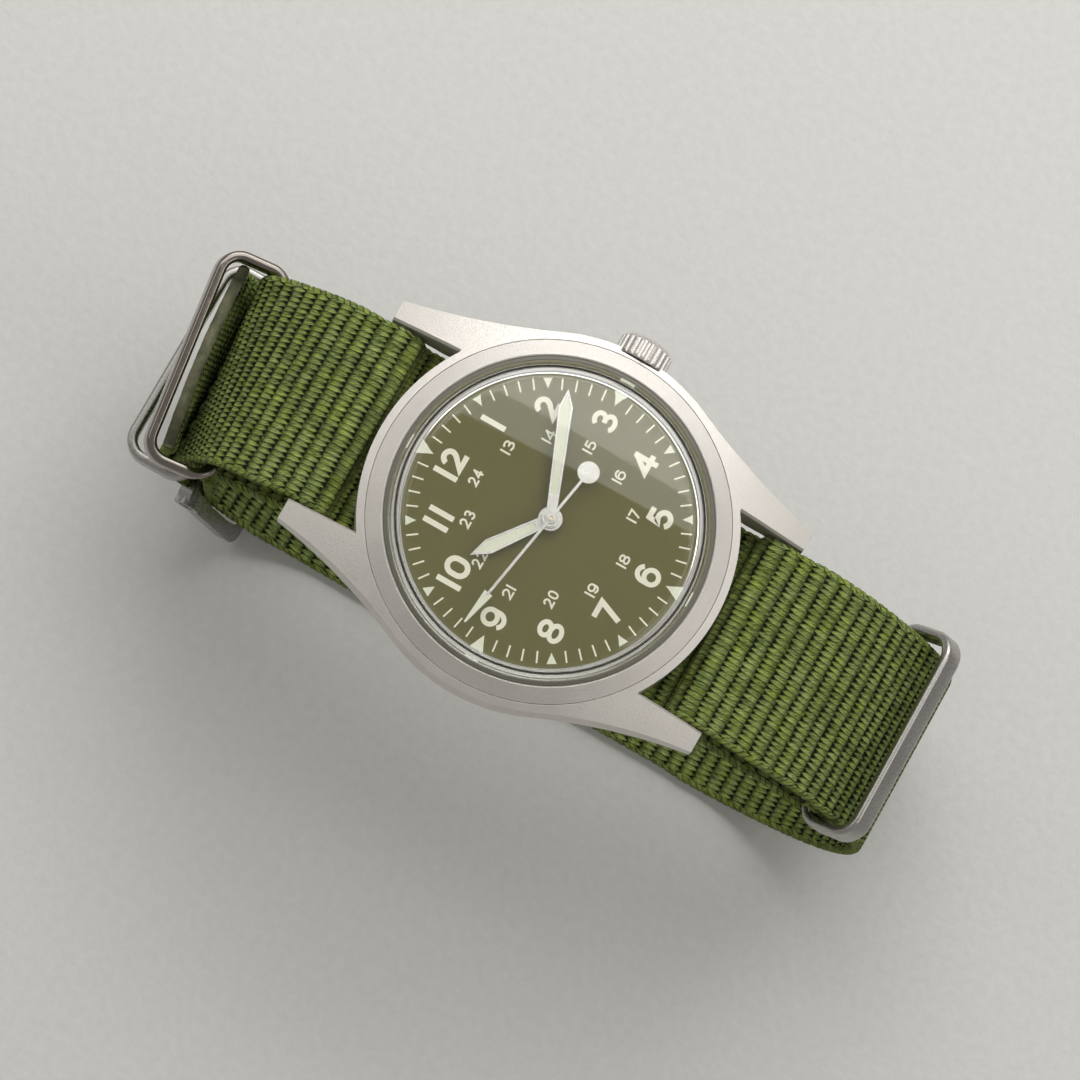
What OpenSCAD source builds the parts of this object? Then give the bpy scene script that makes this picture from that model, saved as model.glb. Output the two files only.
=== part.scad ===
// Hand-wound field watch on a strap with two layers.
// X points to three o'clock, Y to twelve o'clock and Z out of the dial.
// Heights inside the watch head are counted from the top of the dial, and the
// whole watch stands on the lowest flat of its strap at Z = 0.

/* [Case] */
// Diameter of the case without lugs and crown
case_d = 38.1; // [37.6:0.1:40]
// Length over the lugs
lug_span = 47; // [46:0.1:50]
// Width of a lug at its tip
lug_tip_w = 2.25; // [2:0.05:3]
// Radius of the hollow sweep along the outside of a lug
lug_sweep_r = 57; // [45:1:80]
// Drop of the lug tip below the dial
lug_tip_drop = 3.5; // [3:0.1:4]
// Slope of the case top at the bezel, in degrees
top_slope = 18; // [14:1:20]
// Width of the polished bevel on the inner edge of a lug
lug_bevel = 0.3; // [0.1:0.05:0.45]
// Depth of the lug foot below the dial
lug_foot = 6.1; // [5.9:0.1:6.3]

/* [Bezel and crystal] */
// Diameter of the bezel
bezel_d = 36.4; // [36:0.1:36.6]
// Diameter of the bezel's opening
bezel_hole_d = 32.9; // [32.7:0.1:33.2]
// Height of the bezel's inner rim above the dial
bezel_rim = 0.5; // [0.3:0.05:0.8]
// Diameter of the crystal
crystal_d = 31.8; // [31.4:0.1:32.2]
// Height of the crystal's centre above the dial
crystal_h = 3.35; // [3.2:0.05:3.8]
// Height of the crystal's shoulder top above the dial
crystal_edge_h = 2.95; // [2.8:0.05:3.1]
// Radius of the crystal's rounded shoulder
crystal_round = 2.2; // [1.6:0.1:2.4]
// Wall of the crystal
crystal_t = 1; // [0.8:0.05:1.05]

/* [Dial] */
// Diameter of the dial
dial_d = 30.6; // [30.3:0.1:30.7]
// Thickness of the dial
dial_t = 0.4; // [0.3:0.05:0.6]
// Radius of the hole in the dial for the hands
dial_hole_r = 1.1; // [1.05:0.05:1.3]
// Radius of the points of the hour markers
marker_in_r = 13.12; // [12.5:0.01:13.3]
// Length of a small hour marker
marker_len = 1.2; // [0.8:0.05:1.4]
// Half width of a small hour marker
marker_half = 0.5; // [0.3:0.05:0.6]
// Length of the four large hour markers
marker_big_len = 1.85; // [1.5:0.05:1.9]
// Half width of the four large hour markers
marker_big_half = 0.78; // [0.6:0.01:0.9]
// Thickness of the luminous paint
lume_t = 0.06; // [0.04:0.01:0.1]

/* [Hands] */
// Length of the hour hand
hour_len = 8.7; // [8:0.1:9.5]
// Width of the hour hand at its boss
hour_w = 1.1; // [0.9:0.05:1.4]
// Width of the hour hand at its shoulder
hour_tip_w = 1.5; // [1.2:0.05:1.8]
// Length of the hour hand's point
hour_point = 2; // [1:0.1:3]
// Length of the minute hand
minute_len = 13; // [12:0.1:13.2]
// Width of the minute hand at its boss
minute_w = 1; // [0.8:0.05:1.3]
// Width of the minute hand at its shoulder
minute_tip_w = 1.4; // [1.1:0.05:1.7]
// Length of the minute hand's point
minute_point = 1.8; // [1:0.1:3]
// Length of the seconds hand
seconds_len = 13.35; // [12.5:0.05:13.4]
// Width of the seconds hand
seconds_w = 0.28; // [0.2:0.02:0.4]
// Radius at which the arrow of the seconds hand starts
arrow_start = 9.65; // [9:0.05:11]
// Width of the arrow at its base
arrow_w = 0.95; // [0.7:0.05:1.2]
// Distance of the counterweight disc from the centre
weight_y = 5.85; // [5:0.05:6.5]
// Radius of the counterweight disc
weight_r = 1.1; // [0.8:0.05:1.4]
// Thickness of a hand
hand_t = 0.18; // [0.12:0.02:0.22]
// Height of the hour hand above the dial
hour_z = 0.55; // [0.45:0.05:0.6]
// Gap between one hand and the next
hand_gap = 0.28; // [0.2:0.02:0.3]
// Angle of the hour hand, clockwise from twelve
hour_angle = 306; // [0:1:360]
// Angle of the minute hand, clockwise from twelve
minute_angle = 68.5; // [0:0.5:360]
// Angle of the seconds hand, clockwise from twelve
seconds_angle = 280; // [0:1:360]

/* [Crown and stem] */
// Diameter of the crown
crown_d = 5.6; // [5:0.1:5.8]
// Length of the crown
crown_len = 2.45; // [2.2:0.05:3]
// Count of flutes round the crown
crown_flutes = 24; // [18:1:30]
// Depth of a flute
flute_depth = 0.17; // [0.1:0.01:0.25]
// Distance of the crown's outer end from the centre
crown_reach = 21.1; // [21:0.1:21.6]
// Diameter of the winding stem
stem_d = 1.2; // [1:0.05:1.4]
// Outer diameter of the crown tube
tube_d = 2.6; // [2.4:0.05:2.9]
// Travel of the crown when it is pulled to set the hands
crown_travel = 1.2; // [0.8:0.1:1.4]

/* [Movement] */
// Diameter of the movement
mvt_d = 25.6; // [25.2:0.1:26]
// Room under the dial for the motion work
motion_h = 0.6; // [0.56:0.02:0.7]
// Thickness of the main plate
plate_t = 1; // [0.9:0.05:1.1]
// Height of the room for the train
train_h = 1.6; // [1.55:0.05:1.7]
// Thickness of the bridges
bridge_t = 0.8; // [0.7:0.05:0.9]
// Room between the bridges and the case back
wheel_room = 0.7; // [0.65:0.05:0.8]
// Radius of the mainspring barrel
barrel_r = 5.3; // [5:0.1:5.4]
// Radius of the centre wheel
centre_wheel_r = 3.5; // [3.4:0.05:3.55]
// Radius of the fourth wheel, which carries the seconds hand
fourth_wheel_r = 3.4; // [3.2:0.05:3.45]
// Radius of the escape wheel
escape_wheel_r = 2.2; // [2:0.05:2.3]
// Radius of the balance wheel
balance_r = 3.8; // [3.5:0.05:3.85]
// Gap between the teeth of wheels that turn each other
mesh_gap = 0.05; // [0.04:0.01:0.08]
// Running clearance of a pivot in its hole
pivot_gap = 0.03; // [0.02:0.01:0.05]
// Diameter of a bridge screw's head
screw_head_d = 1.4; // [1.2:0.05:1.6]

/* [Case back] */
// Thickness of the case back
back_t = 1.2; // [1.1:0.05:1.5]
// Diameter of the case back's rim
back_d = 35.4; // [34.8:0.1:36]
// Diameter of the case back's thread
thread_d = 33.2; // [33:0.1:33.6]
// Count of the notches for the case opener
back_notches = 6; // [4:1:8]

/* [Spring bars] */
// Diameter of a spring bar's tube
bar_d = 1.8; // [1.5:0.1:1.8]
// Distance of a spring bar from the dial's centre
bar_y = 21.5; // [21.45:0.05:21.8]
// Depth of a spring bar below the dial
bar_drop = 4.9; // [4.7:0.05:5]
// Diameter of a spring bar's tips
tip_d = 0.9; // [0.8:0.05:1]
// Length of a tip inside its lug
tip_reach = 0.95; // [0.7:0.05:1.1]

/* [Strap] */
// Width of the strap
strap_w = 20.5; // [19:0.1:21.5]
// Clearance between the strap's edge and a lug
lug_play = 0.15; // [0.1:0.05:0.4]
// Thickness of the strap
strap_t = 1.2; // [1:0.05:1.2]
// Gap between strap layers that lie together
layer_gap = 0.15; // [0.1:0.01:0.2]
// Height of the dial above the surface that the watch stands on
dial_h = 46; // [45:0.5:50]
// Radius of the strap's shoulder on the twelve o'clock side
shoulder_12_r = 18.5; // [17.5:0.1:19]
// Centre of that shoulder from the dial's centre
shoulder_12_y = 18.8; // [18:0.1:19.5]
// Radius of the strap's shoulder on the six o'clock side
shoulder_6_r = 24.5; // [23:0.1:25]
// Centre of that shoulder from the dial's centre
shoulder_6_y = 20.75; // [20:0.05:21]
// Radius of the lower bend on the twelve o'clock side
lower_12_r = 19; // [18:0.1:19.5]
// Radius of the lower bend on the six o'clock side
lower_6_r = 17.5; // [16:0.1:18]
// Height of the arc that ends the strap's tail
tail_arc = 2.8; // [1:0.1:4]
// Diameter of the holes in the strap
hole_d = 2; // [1.6:0.1:2.2]
// Distance between the holes in the strap
hole_pitch = 7; // [6:0.5:8]

/* [Keepers and buckle] */
// Thickness of a keeper's bars
keeper_t = 1.1; // [0.9:0.05:1.2]
// Width of a keeper's band
keeper_w = 2.4; // [2:0.1:2.6]
// Clear height inside a keeper
keeper_h = 6; // [5.7:0.1:6.4]
// Clearance between the strap's edge and a keeper
keeper_side = 0.5; // [0.4:0.05:0.9]
// Room round a keeper's inner bar
keeper_room = 0.4; // [0.35:0.01:0.45]
// Outer corner radius of a keeper
keeper_round = 2.7; // [2:0.1:3]
// Angle round the twelve o'clock shoulder at which its keeper sits
keeper_12_at = 71; // [68:1:74]
// Angle round the six o'clock shoulder at which its keeper sits
keeper_6_at = 55; // [52:1:57]
// Lean of the six o'clock keeper towards the level of the dial
keeper_6_lean = 14; // [0:1:15]
// Skew of the twelve o'clock keeper and the strap in it, in degrees
keeper_skew = 8; // [0:0.5:9]
// Lean of the twelve o'clock keeper towards the level of the dial
keeper_lean = 6; // [0:1:8]
// Diameter of the buckle bar
buckle_bar_d = 1.6; // [1.4:0.1:1.8]
// Distance from the buckle bar to the front bar
buckle_len = 10.8; // [10.4:0.1:11]
// Thickness of the buckle frame
buckle_t = 1.6; // [1.4:0.1:1.7]
// Width of the buckle frame's arms
buckle_arm = 1.7; // [1.5:0.1:2.2]
// Angle of the buckle bar up the lower bend, from straight down
buckle_at = 66; // [64:1:68]
// Width of the buckle's tongue
tongue_w = 1.7; // [1.4:0.1:1.9]

/* [Hidden] */
$fn = 96;
steel = [0.72, 0.71, 0.69];
polished = [0.82, 0.82, 0.81];
brass_c = [0.78, 0.65, 0.35];
lume_c = [0.91, 0.92, 0.85];
olive = [0.42, 0.41, 0.26];
webbing = [0.33, 0.41, 0.18];
ruby = [0.72, 0.1, 0.25];
eps = 0.01;

// Heights in the watch head, from the top of the dial
z_motion = -dial_t;
z_plate = z_motion - motion_h;
z_train = z_plate - plate_t;
z_bridge = z_train - train_h;
z_over = z_bridge - bridge_t;
z_back = z_over - wheel_room;
z_low = z_back - back_t;
back_rim = 0.7;
z_case = z_low + back_rim;
neck_top = -0.1;
ledge_z = -1.2;
bezel_skirt = 0.25;
crystal_foot = 0.15;

// Radii in the watch head
case_r = case_d / 2;
bezel_r = bezel_d / 2;
bore_r = dial_d / 2 + 0.1;
neck_r = 16.9;
crystal_r = crystal_d / 2;
mvt_r = mvt_d / 2;
stem_r = stem_d / 2;
tube_r = tube_d / 2;
stem_z = z_train - 0.6;
fit = 0.05;

// Arc of the case top: it starts at the bezel with the slope and reaches the lug tip's drop
lug_gap = strap_w + 2 * lug_play;
lug_tip_x = lug_gap / 2 + lug_tip_w;
lug_tip_y = lug_span / 2;
lug_tip_r = norm([lug_tip_x, lug_tip_y]);
arc_run = [lug_tip_r - bezel_r, bezel_skirt - lug_tip_drop];
arc_n = [-sin(top_slope), -cos(top_slope)];
arc_r = (arc_run * arc_run) / (2 * (arc_run * arc_n));
arc_c = [bezel_r, -bezel_skirt] + arc_r * arc_n;
function top_z(r) = arc_c[1] + sqrt(arc_r * arc_r - pow(r - arc_c[0], 2));

// Centre of the hollow sweep, which touches the case and passes the lug's tip
sweep_d = case_r + lug_sweep_r;
sweep_a = atan2(lug_tip_y, lug_tip_x)
    - acos((sweep_d * sweep_d + lug_tip_r * lug_tip_r - lug_sweep_r * lug_sweep_r) / (2 * sweep_d * lug_tip_r));
sweep_c = sweep_d * [cos(sweep_a), sin(sweep_a)];

// Puts a head piece at the height of the dial
module head() { translate([0, 0, dial_h]) children(); }

// Turned solid from an outline of radius and height
module turned() { rotate_extrude($fn = 180) children(); }

// Ring between two radii and two heights
module ring(r_in, r_out, z_a, z_b) {
    turned() polygon([[r_in, z_a], [r_out, z_a], [r_out, z_b], [r_in, z_b]]);
}

// Disc or pin between two heights
module post(r, z_a, z_b, n = 48) {
    translate([0, 0, min(z_a, z_b)]) cylinder(r = r, h = abs(z_b - z_a), $fn = n);
}

// Cylinder along X from one place to another at the stem's height
module stem_bore(r, x_a, x_b) {
    translate([x_a, 0, stem_z]) rotate([0, 90, 0]) cylinder(r = r, h = x_b - x_a, $fn = 48);
}

// Case middle with lugs
module lug_outline() {
    touch = case_r * [cos(sweep_a), sin(sweep_a)];
    for (sx = [0, 1], sy = [0, 1])
        mirror([sx, 0]) mirror([0, sy]) difference() {
            polygon([[lug_gap / 2, 0], [case_r - 2, 0], touch, [lug_tip_x, lug_tip_y], [lug_gap / 2, lug_tip_y]]);
            translate(sweep_c) circle(r = lug_sweep_r, $fn = 360);
        }
}

module case_blank() {
    reach = lug_tip_r + 2;
    turned() intersection() {
        polygon([[bore_r, z_case], [case_r - 0.1, z_case], [case_r + 1.2, -lug_foot], [reach, -lug_foot],
            [reach, neck_r], [bore_r, neck_r]]);
        translate(arc_c) circle(r = arc_r, $fn = 720);
    }
}

// Circle through three points, as centre and radius
function circle_of(a, b, c) =
    let (d = 2 * (a[0] * (b[1] - c[1]) + b[0] * (c[1] - a[1]) + c[0] * (a[1] - b[1])),
        x = ((a * a) * (b[1] - c[1]) + (b * b) * (c[1] - a[1]) + (c * c) * (a[1] - b[1])) / d,
        y = ((a * a) * (c[0] - b[0]) + (b * b) * (a[0] - c[0]) + (c * c) * (b[0] - a[0])) / d)
    [x, y, norm([a[0] - x, a[1] - y])];

// Cutter for the bevel along the upper inner edge of a lug, a cone about an X axis
module lug_bevel_cut() {
    x0 = lug_gap / 2;
    root = sqrt(case_r * case_r - x0 * x0);
    edge = [for (y = [root, (root + lug_tip_y) / 2, lug_tip_y]) [y, top_z(norm([x0, y]))]];
    c = circle_of(edge[0], edge[1], edge[2]);
    for (sx = [0, 1], sy = [0, 1])
        mirror([sx, 0, 0]) mirror([0, sy, 0]) intersection() {
            translate([0, c[0], c[1]]) rotate([0, 90, 0]) rotate_extrude($fn = 720)
                polygon([[c[2] - lug_bevel, x0 - eps], [c[2] + 1, x0 - eps], [c[2] + 1, x0 + lug_bevel + 1],
                    [c[2], x0 + lug_bevel]]);
            translate([x0 - 1, root, -lug_foot]) cube([4, lug_span, lug_foot + 2]);
        }
}

module case_middle() {
    color(steel) head() difference() {
        union() {
            intersection() {
                case_blank();
                translate([0, 0, -lug_foot - 1]) linear_extrude(lug_foot + 3) {
                    circle(r = case_r, $fn = 180);
                    lug_outline();
                }
            }
        }
        // Seat of the bezel and the crystal
        turned() polygon([[neck_r, ledge_z], [bezel_r + fit / 2, ledge_z], [bezel_r + fit / 2, 3], [0, 3],
            [0, neck_top], [neck_r, neck_top]]);
        // Thread of the case back
        post(thread_d / 2 + fit, z_case - eps, z_case + thread_len + gasket_t, 96);
        // Stem, crown tube and the recess in the flank for the crown
        stem_bore(tube_r + fit / 5, bore_r - 1, case_r + 1);
        stem_bore(crown_d / 2 + 0.25, crown_in_x - 0.15, case_r + 3);
        lug_bevel_cut();
        // Holes for the tips of the spring bars
        for (sy = [-1, 1], sx = [0, 1]) mirror([sx, 0, 0])
            translate([lug_gap / 2 - 1, sy * bar_y, -bar_drop]) rotate([0, 90, 0])
                cylinder(r = tip_d / 2 + fit, h = 1 + tip_reach + 0.25, $fn = 32);
    }
}
thread_len = 1.2;
gasket_t = 0.35;
crown_in_x = crown_reach - crown_len;

module bezel() {
    color(steel) head() turned() polygon([[neck_r + fit / 2, ledge_z], [bezel_r - fit / 2, ledge_z],
        [bezel_r - fit / 2, -bezel_skirt], [bezel_hole_d / 2 + 0.15, bezel_rim], [bezel_hole_d / 2, bezel_rim - 0.12],
        [bezel_hole_d / 2, neck_top + 0.02], [neck_r + fit / 2, neck_top + 0.02]]);
}

// Crystal: a box dome with a rounded shoulder, hollow below
module crystal() {
    shoulder_r = crystal_r - crystal_round;
    rise = crystal_h - crystal_edge_h;
    dome_r = (shoulder_r * shoulder_r + rise * rise) / (2 * rise);
    inner_r = crystal_r - crystal_t;
    inner_round = crystal_round - 0.9;
    color([0.85, 0.9, 0.92, 0.35]) head() difference() {
        turned() difference() {
            union() {
                intersection() {
                    square([shoulder_r, crystal_h]);
                    translate([0, crystal_h - dome_r]) circle(r = dome_r, $fn = 720);
                }
                square([crystal_r, crystal_edge_h - crystal_round]);
                intersection() {
                    translate([shoulder_r, crystal_edge_h - crystal_round]) circle(r = crystal_round, $fn = 96);
                    square([crystal_r + 1, crystal_edge_h + 1]);
                }
            }
            translate([-1, -1]) square([crystal_r + 2, 1 + crystal_foot]);
        }
        turned() union() {
            translate([0, -1]) square([inner_r, 1 + crystal_edge_h - crystal_t - inner_round]);
            intersection() {
                translate([inner_r - inner_round, crystal_edge_h - crystal_t - inner_round])
                    circle(r = inner_round, $fn = 96);
                square([crystal_r + 1, crystal_edge_h]);
            }
            square([inner_r - inner_round, crystal_edge_h - crystal_t]);
            intersection() {
                square([inner_r - inner_round, crystal_h - crystal_t]);
                translate([0, crystal_h - crystal_t - dome_r]) circle(r = dome_r, $fn = 720);
            }
        }
    }
}

module crystal_gasket() {
    color(polished) head() {
        foot = bore_r + 0.1;
        turned() polygon([[foot, neck_top], [bezel_hole_d / 2 - fit, neck_top], [bezel_hole_d / 2 - fit, bezel_rim - 0.1],
            [crystal_r + 0.15, bezel_rim + 0.1], [crystal_r + fit / 5, bezel_rim], [crystal_r + fit / 5, crystal_foot],
            [foot, crystal_foot]]);
    }
}

// Spacer between the dial's edge and the crystal
module dial_ring() {
    color(polished) head() turned() polygon([[dial_d / 2 - 0.22, 0], [bore_r - fit, 0], [bore_r - fit, crystal_foot - 0.02],
        [dial_d / 2 - 0.12, crystal_foot - 0.02]]);
}

module dial() {
    color(olive) head() {
        difference() {
            post(dial_d / 2, -dial_t, 0, 180);
            post(dial_hole_r, -dial_t - 1, 1);
        }
        // Dial feet
        for (a = dial_feet) rotate([0, 0, a]) translate([foot_at, 0, 0]) post(foot_r, -dial_t - 1.2, -dial_t, 24);
    }
}
dial_feet = [55, 235];
foot_at = mvt_r - 1.6;
foot_r = 0.35;

module marker(len, half) {
    linear_extrude(lume_t) polygon([[0, marker_in_r], [half, marker_in_r + len], [-half, marker_in_r + len]]);
}

module hour_markers() {
    color(lume_c) head() for (h = [0:11]) rotate([0, 0, -30 * h])
        if (h % 3 == 0) marker(marker_big_len, marker_big_half); else marker(marker_len, marker_half);
}

// Hands. Each hand is drawn towards twelve and turned clockwise by its angle.
minute_z = hour_z + hand_t + hand_gap;
seconds_z = minute_z + hand_t + hand_gap;
arbor_r = 0.14;
pipe_in_r = arbor_r + 0.05;
pipe_r = 0.36;
cannon_in_r = pipe_r + 0.01;
cannon_r = 0.6;
hour_in_r = cannon_r + 0.05;
hour_pipe_r = 0.95;

module blade(len, w_in, w_out, point, inset = 0) {
    polygon([[-w_in / 2 + inset, inset], [w_in / 2 - inset, inset], [w_out / 2 - inset, len - point],
        [0, len - inset * 2.2], [-w_out / 2 + inset, len - point]]);
}

module lume_window(start, len, w_in, w_out, point) {
    intersection() {
        blade(len, w_in, w_out, point, hand_rim);
        translate([-w_out, start]) square([2 * w_out, len]);
    }
}
hand_rim = 0.2;
lume_drop = 0.03;

module hand_with_window(len, w_in, w_out, point, boss_r, hole_r, start) {
    difference() {
        union() {
            linear_extrude(hand_t) blade(len, w_in, w_out, point);
            cylinder(r = boss_r, h = hand_t, $fn = 64);
            cylinder(r = hole_r + 0.25, h = hand_t + 0.15, $fn = 64);
        }
        translate([0, 0, -1]) cylinder(r = hole_r, h = 3, $fn = 48);
        translate([0, 0, -1]) linear_extrude(3) lume_window(start, len, w_in, w_out, point);
    }
}

module hour_hand() {
    color(polished) head() rotate([0, 0, -hour_angle]) translate([0, 0, hour_z])
        hand_with_window(hour_len, hour_w, hour_tip_w, hour_point, 1.2, hour_pipe_r + 0.005, hour_lume_at);
}
hour_lume_at = 1.6;
minute_lume_at = 2.4;

module hour_hand_lume() {
    color(lume_c) head() rotate([0, 0, -hour_angle]) translate([0, 0, hour_z + lume_drop])
        linear_extrude(hand_t - 2 * lume_drop) lume_window(hour_lume_at, hour_len, hour_w, hour_tip_w, hour_point);
}

module minute_hand() {
    color(polished) head() rotate([0, 0, -minute_angle]) translate([0, 0, minute_z])
        hand_with_window(minute_len, minute_w, minute_tip_w, minute_point, 0.95, cannon_r + 0.005, minute_lume_at);
}

module minute_hand_lume() {
    color(lume_c) head() rotate([0, 0, -minute_angle]) translate([0, 0, minute_z + lume_drop])
        linear_extrude(hand_t - 2 * lume_drop)
            lume_window(minute_lume_at, minute_len, minute_w, minute_tip_w, minute_point);
}

module seconds_hand() {
    color(polished) head() rotate([0, 0, -seconds_angle]) translate([0, 0, seconds_z]) difference() {
        union() {
            linear_extrude(seconds_t) {
                polygon([[-seconds_w / 2, -weight_y], [seconds_w / 2, -weight_y], [seconds_w / 2, arrow_start + 0.3],
                    [-seconds_w / 2, arrow_start + 0.3]]);
                translate([0, -weight_y]) circle(r = weight_r, $fn = 64);
                circle(r = 0.55, $fn = 48);
            }
            cylinder(r = 0.35, h = seconds_t + 0.3, $fn = 48);
            translate([0, 0, -0.15]) cylinder(r = 0.35, h = 0.2, $fn = 48);
        }
        translate([0, 0, -1]) cylinder(r = arbor_r + 0.005, h = 3, $fn = 32);
    }
}
seconds_t = 0.12;

module seconds_hand_lume() {
    color(lume_c) head() rotate([0, 0, -seconds_angle]) translate([0, 0, seconds_z])
        linear_extrude(seconds_t + 0.04) difference() {
            polygon([[-arrow_w / 2, arrow_start], [arrow_w / 2, arrow_start], [0.1, seconds_len], [-0.1, seconds_len]]);
            polygon([[-seconds_w / 2, 0], [seconds_w / 2, 0], [seconds_w / 2, arrow_start + 0.3],
                [-seconds_w / 2, arrow_start + 0.3]]);
        }
}

// Crown, stem and keyless work
clutch_x = 7.7;
clutch_len = 1.5;
pinion_x = 9.9;
pinion_len = 1.3;
wind_r = 1.05;
cavity_r = tube_r + 0.35;

module crown() {
    half = crown_d / 2;
    color(steel) head() translate([0, 0, stem_z]) rotate([0, 90, 0]) difference() {
        translate([0, 0, crown_in_x]) rotate_extrude($fn = 96)
            polygon([[0, 0], [half - 0.25, 0], [half, 0.25], [half, crown_len - 0.7], [half - 0.5, crown_len - 0.18],
                [half - 1.1, crown_len], [0, crown_len]]);
        for (i = [0:crown_flutes - 1]) rotate([0, 0, (i + 0.5) * 360 / crown_flutes])
            translate([half + 0.1, 0, crown_in_x - 1]) cylinder(r = 0.1 + flute_depth, h = crown_len + 2, $fn = 24);
        translate([0, 0, crown_in_x - 1]) cylinder(r = cavity_r, h = 1 + crown_len - 0.75, $fn = 64);
        translate([0, 0, crown_in_x]) cylinder(r = stem_r + 0.005, h = crown_len - 0.4, $fn = 48);
    }
}

module crown_gasket() {
    color([0.1, 0.1, 0.1]) head() translate([crown_in_x + 0.45, 0, stem_z]) rotate([0, 90, 0])
        rotate_extrude($fn = 64) translate([(tube_r + cavity_r) / 2, 0]) circle(r = 0.155, $fn = 24);
}

module crown_tube() {
    color(polished) head() difference() {
        stem_bore(tube_r, bore_r + 0.2, crown_in_x + 0.9);
        stem_bore(stem_r + fit, bore_r - 1, case_r + 3);
    }
}

module winding_stem() {
    color(polished) head() {
        difference() {
            stem_bore(stem_r, 5.9, crown_in_x + crown_len - 0.45);
            // Groove for the setting lever
            difference() {
                stem_bore(stem_r + 0.5, 12, 12.5);
                stem_bore(stem_r - 0.2, 11.5, 13);
            }
        }
    }
}

// Outline of a wheel with pointed teeth
function teeth(n, r_root, r_tip) = [for (i = [0:n - 1], k = [0:1]) let (a = (i + k / 2) * 360 / n,
    r = k == 0 ? r_root : r_tip) r * [cos(a), sin(a)]];

// Wheel with teeth, a rim, spokes and a hole
module wheel(n, r, t, rim, spokes, hub, hole = 0) {
    linear_extrude(t) difference() {
        polygon(teeth(n, r - tooth, r));
        if (spokes > 0) difference() {
            circle(r = r - tooth - rim, $fn = 96);
            circle(r = hub, $fn = 32);
            for (i = [0:spokes - 1]) rotate(i * 360 / spokes) translate([0, -spoke_w / 2]) square([r, spoke_w]);
        }
        if (hole > 0) circle(r = hole, $fn = 48);
    }
}
tooth = 0.22;
spoke_w = 0.35;

module x_wheel(x, n, r, len) {
    translate([x, 0, stem_z]) rotate([0, 90, 0]) difference() {
        wheel(n, r, len, 0, 0, 0);
        translate([0, 0, -1]) cylinder(r = stem_r + pivot_gap, h = len + 2, $fn = 48);
    }
}

module winding_pinion() { color(polished) head() x_wheel(pinion_x, 14, wind_r, pinion_len); }

module sliding_clutch() {
    color(polished) head() difference() {
        x_wheel(clutch_x, 14, wind_r - 0.05, clutch_len);
        difference() {
            stem_bore(wind_r + 1, clutch_x + 0.55, clutch_x + 0.95);
            stem_bore(wind_r - 0.3, clutch_x, clutch_x + 2);
        }
    }
}

// Case back with its threaded ring and the notches for an opener
module case_back() {
    color(steel) head() difference() {
        union() {
            turned() polygon([[0, z_low], [back_d / 2 - 0.4, z_low], [back_d / 2, z_low + 0.35],
                [back_d / 2, z_case], [thread_d / 2, z_case], [thread_d / 2, z_case + thread_len],
                [thread_d / 2 - 0.9, z_case + thread_len], [thread_d / 2 - 0.9, z_back], [0, z_back]]);
        }
        for (i = [0:back_notches - 1]) rotate([0, 0, (i + 0.5) * 360 / back_notches])
            translate([back_d / 2 - 1, -0.9, z_low - 1]) cube([2, 1.8, 1.5]);
    }
}

module back_gasket() {
    color([0.1, 0.1, 0.1]) head() ring(thread_d / 2 - 0.8, thread_d / 2 - 0.1, z_case + thread_len,
        z_case + thread_len + gasket_t);
}

module movement_holder() {
    color([0.85, 0.85, 0.83]) head() difference() {
        ring(mvt_r + fit, bore_r - fit, z_over, z_motion);
        stem_bore(stem_r + 0.6, 0, case_r);
    }
}

// Places of the movement's wheels
pinion_r = 0.9;
third_pinion_r = 0.6;
fourth_pinion_r = 0.55;
escape_pinion_r = 0.42;
barrel_at = (barrel_r + pinion_r + mesh_gap) * [cos(60), sin(60)];
third_d = centre_wheel_r + third_pinion_r + mesh_gap;
third_at = third_d * [cos(190), sin(190)];
third_wheel_r = third_d - fourth_pinion_r - mesh_gap;
escape_at = (fourth_wheel_r + escape_pinion_r + mesh_gap) * [cos(-75), sin(-75)];
pallet_at = escape_at + (escape_wheel_r + 0.75) * [cos(-110), sin(-110)];
balance_at = pallet_at + 3 * [cos(193.5), sin(193.5)];
ratchet_r = 3.5;
crown_wheel_r = 2.1;
crown_wheel_at = barrel_at + (ratchet_r + crown_wheel_r + mesh_gap) * [cos(-25), sin(-25)];
minute_wheel_r = 2.2;
cannon_teeth_r = 0.78;
minute_at = (minute_wheel_r + cannon_teeth_r + mesh_gap) * [cos(35), sin(35)];
hour_wheel_r = minute_wheel_r + cannon_teeth_r - 0.62;
rim_in = mvt_r - 0.85;

// Heights of the movement's wheels, from the underside of the main plate down
wheel_t = 0.12;
centre_z = z_train - 0.05 - wheel_t;
barrel_top = centre_z - 0.12;
barrel_h = 0.82;
third_z = barrel_top - 0.65;
fourth_z = barrel_top - barrel_h - 0.12 - wheel_t;
escape_z = centre_z - 0.4;
balance_z = fourth_z - 0.06;
jewel_r = 0.5;
jewel_hole_r = 0.13;
pivot_r = jewel_hole_r - pivot_gap;
jewel_t = 0.3;

screw_r = screw_head_d / 2;
shank_r = 0.4;
barrel_screws = [[11.7, 14], [11.4, 33], [11.2, 98], [11.2, 122]];
train_screws = [[11.3, 158], [11.3, -17], [11.2, 192]];
cock_screws = [[11.95, 266]];
bridge_screws = concat(barrel_screws, train_screws, cock_screws);
function polar(p) = p[0] * [cos(p[1]), sin(p[1])];

module at(p) { translate([p[0], p[1], 0]) children(); }

module screw_holes(list, r, z_a, z_b) {
    for (p = list) at(polar(p)) post(r, z_a, z_b, 32);
}

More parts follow.
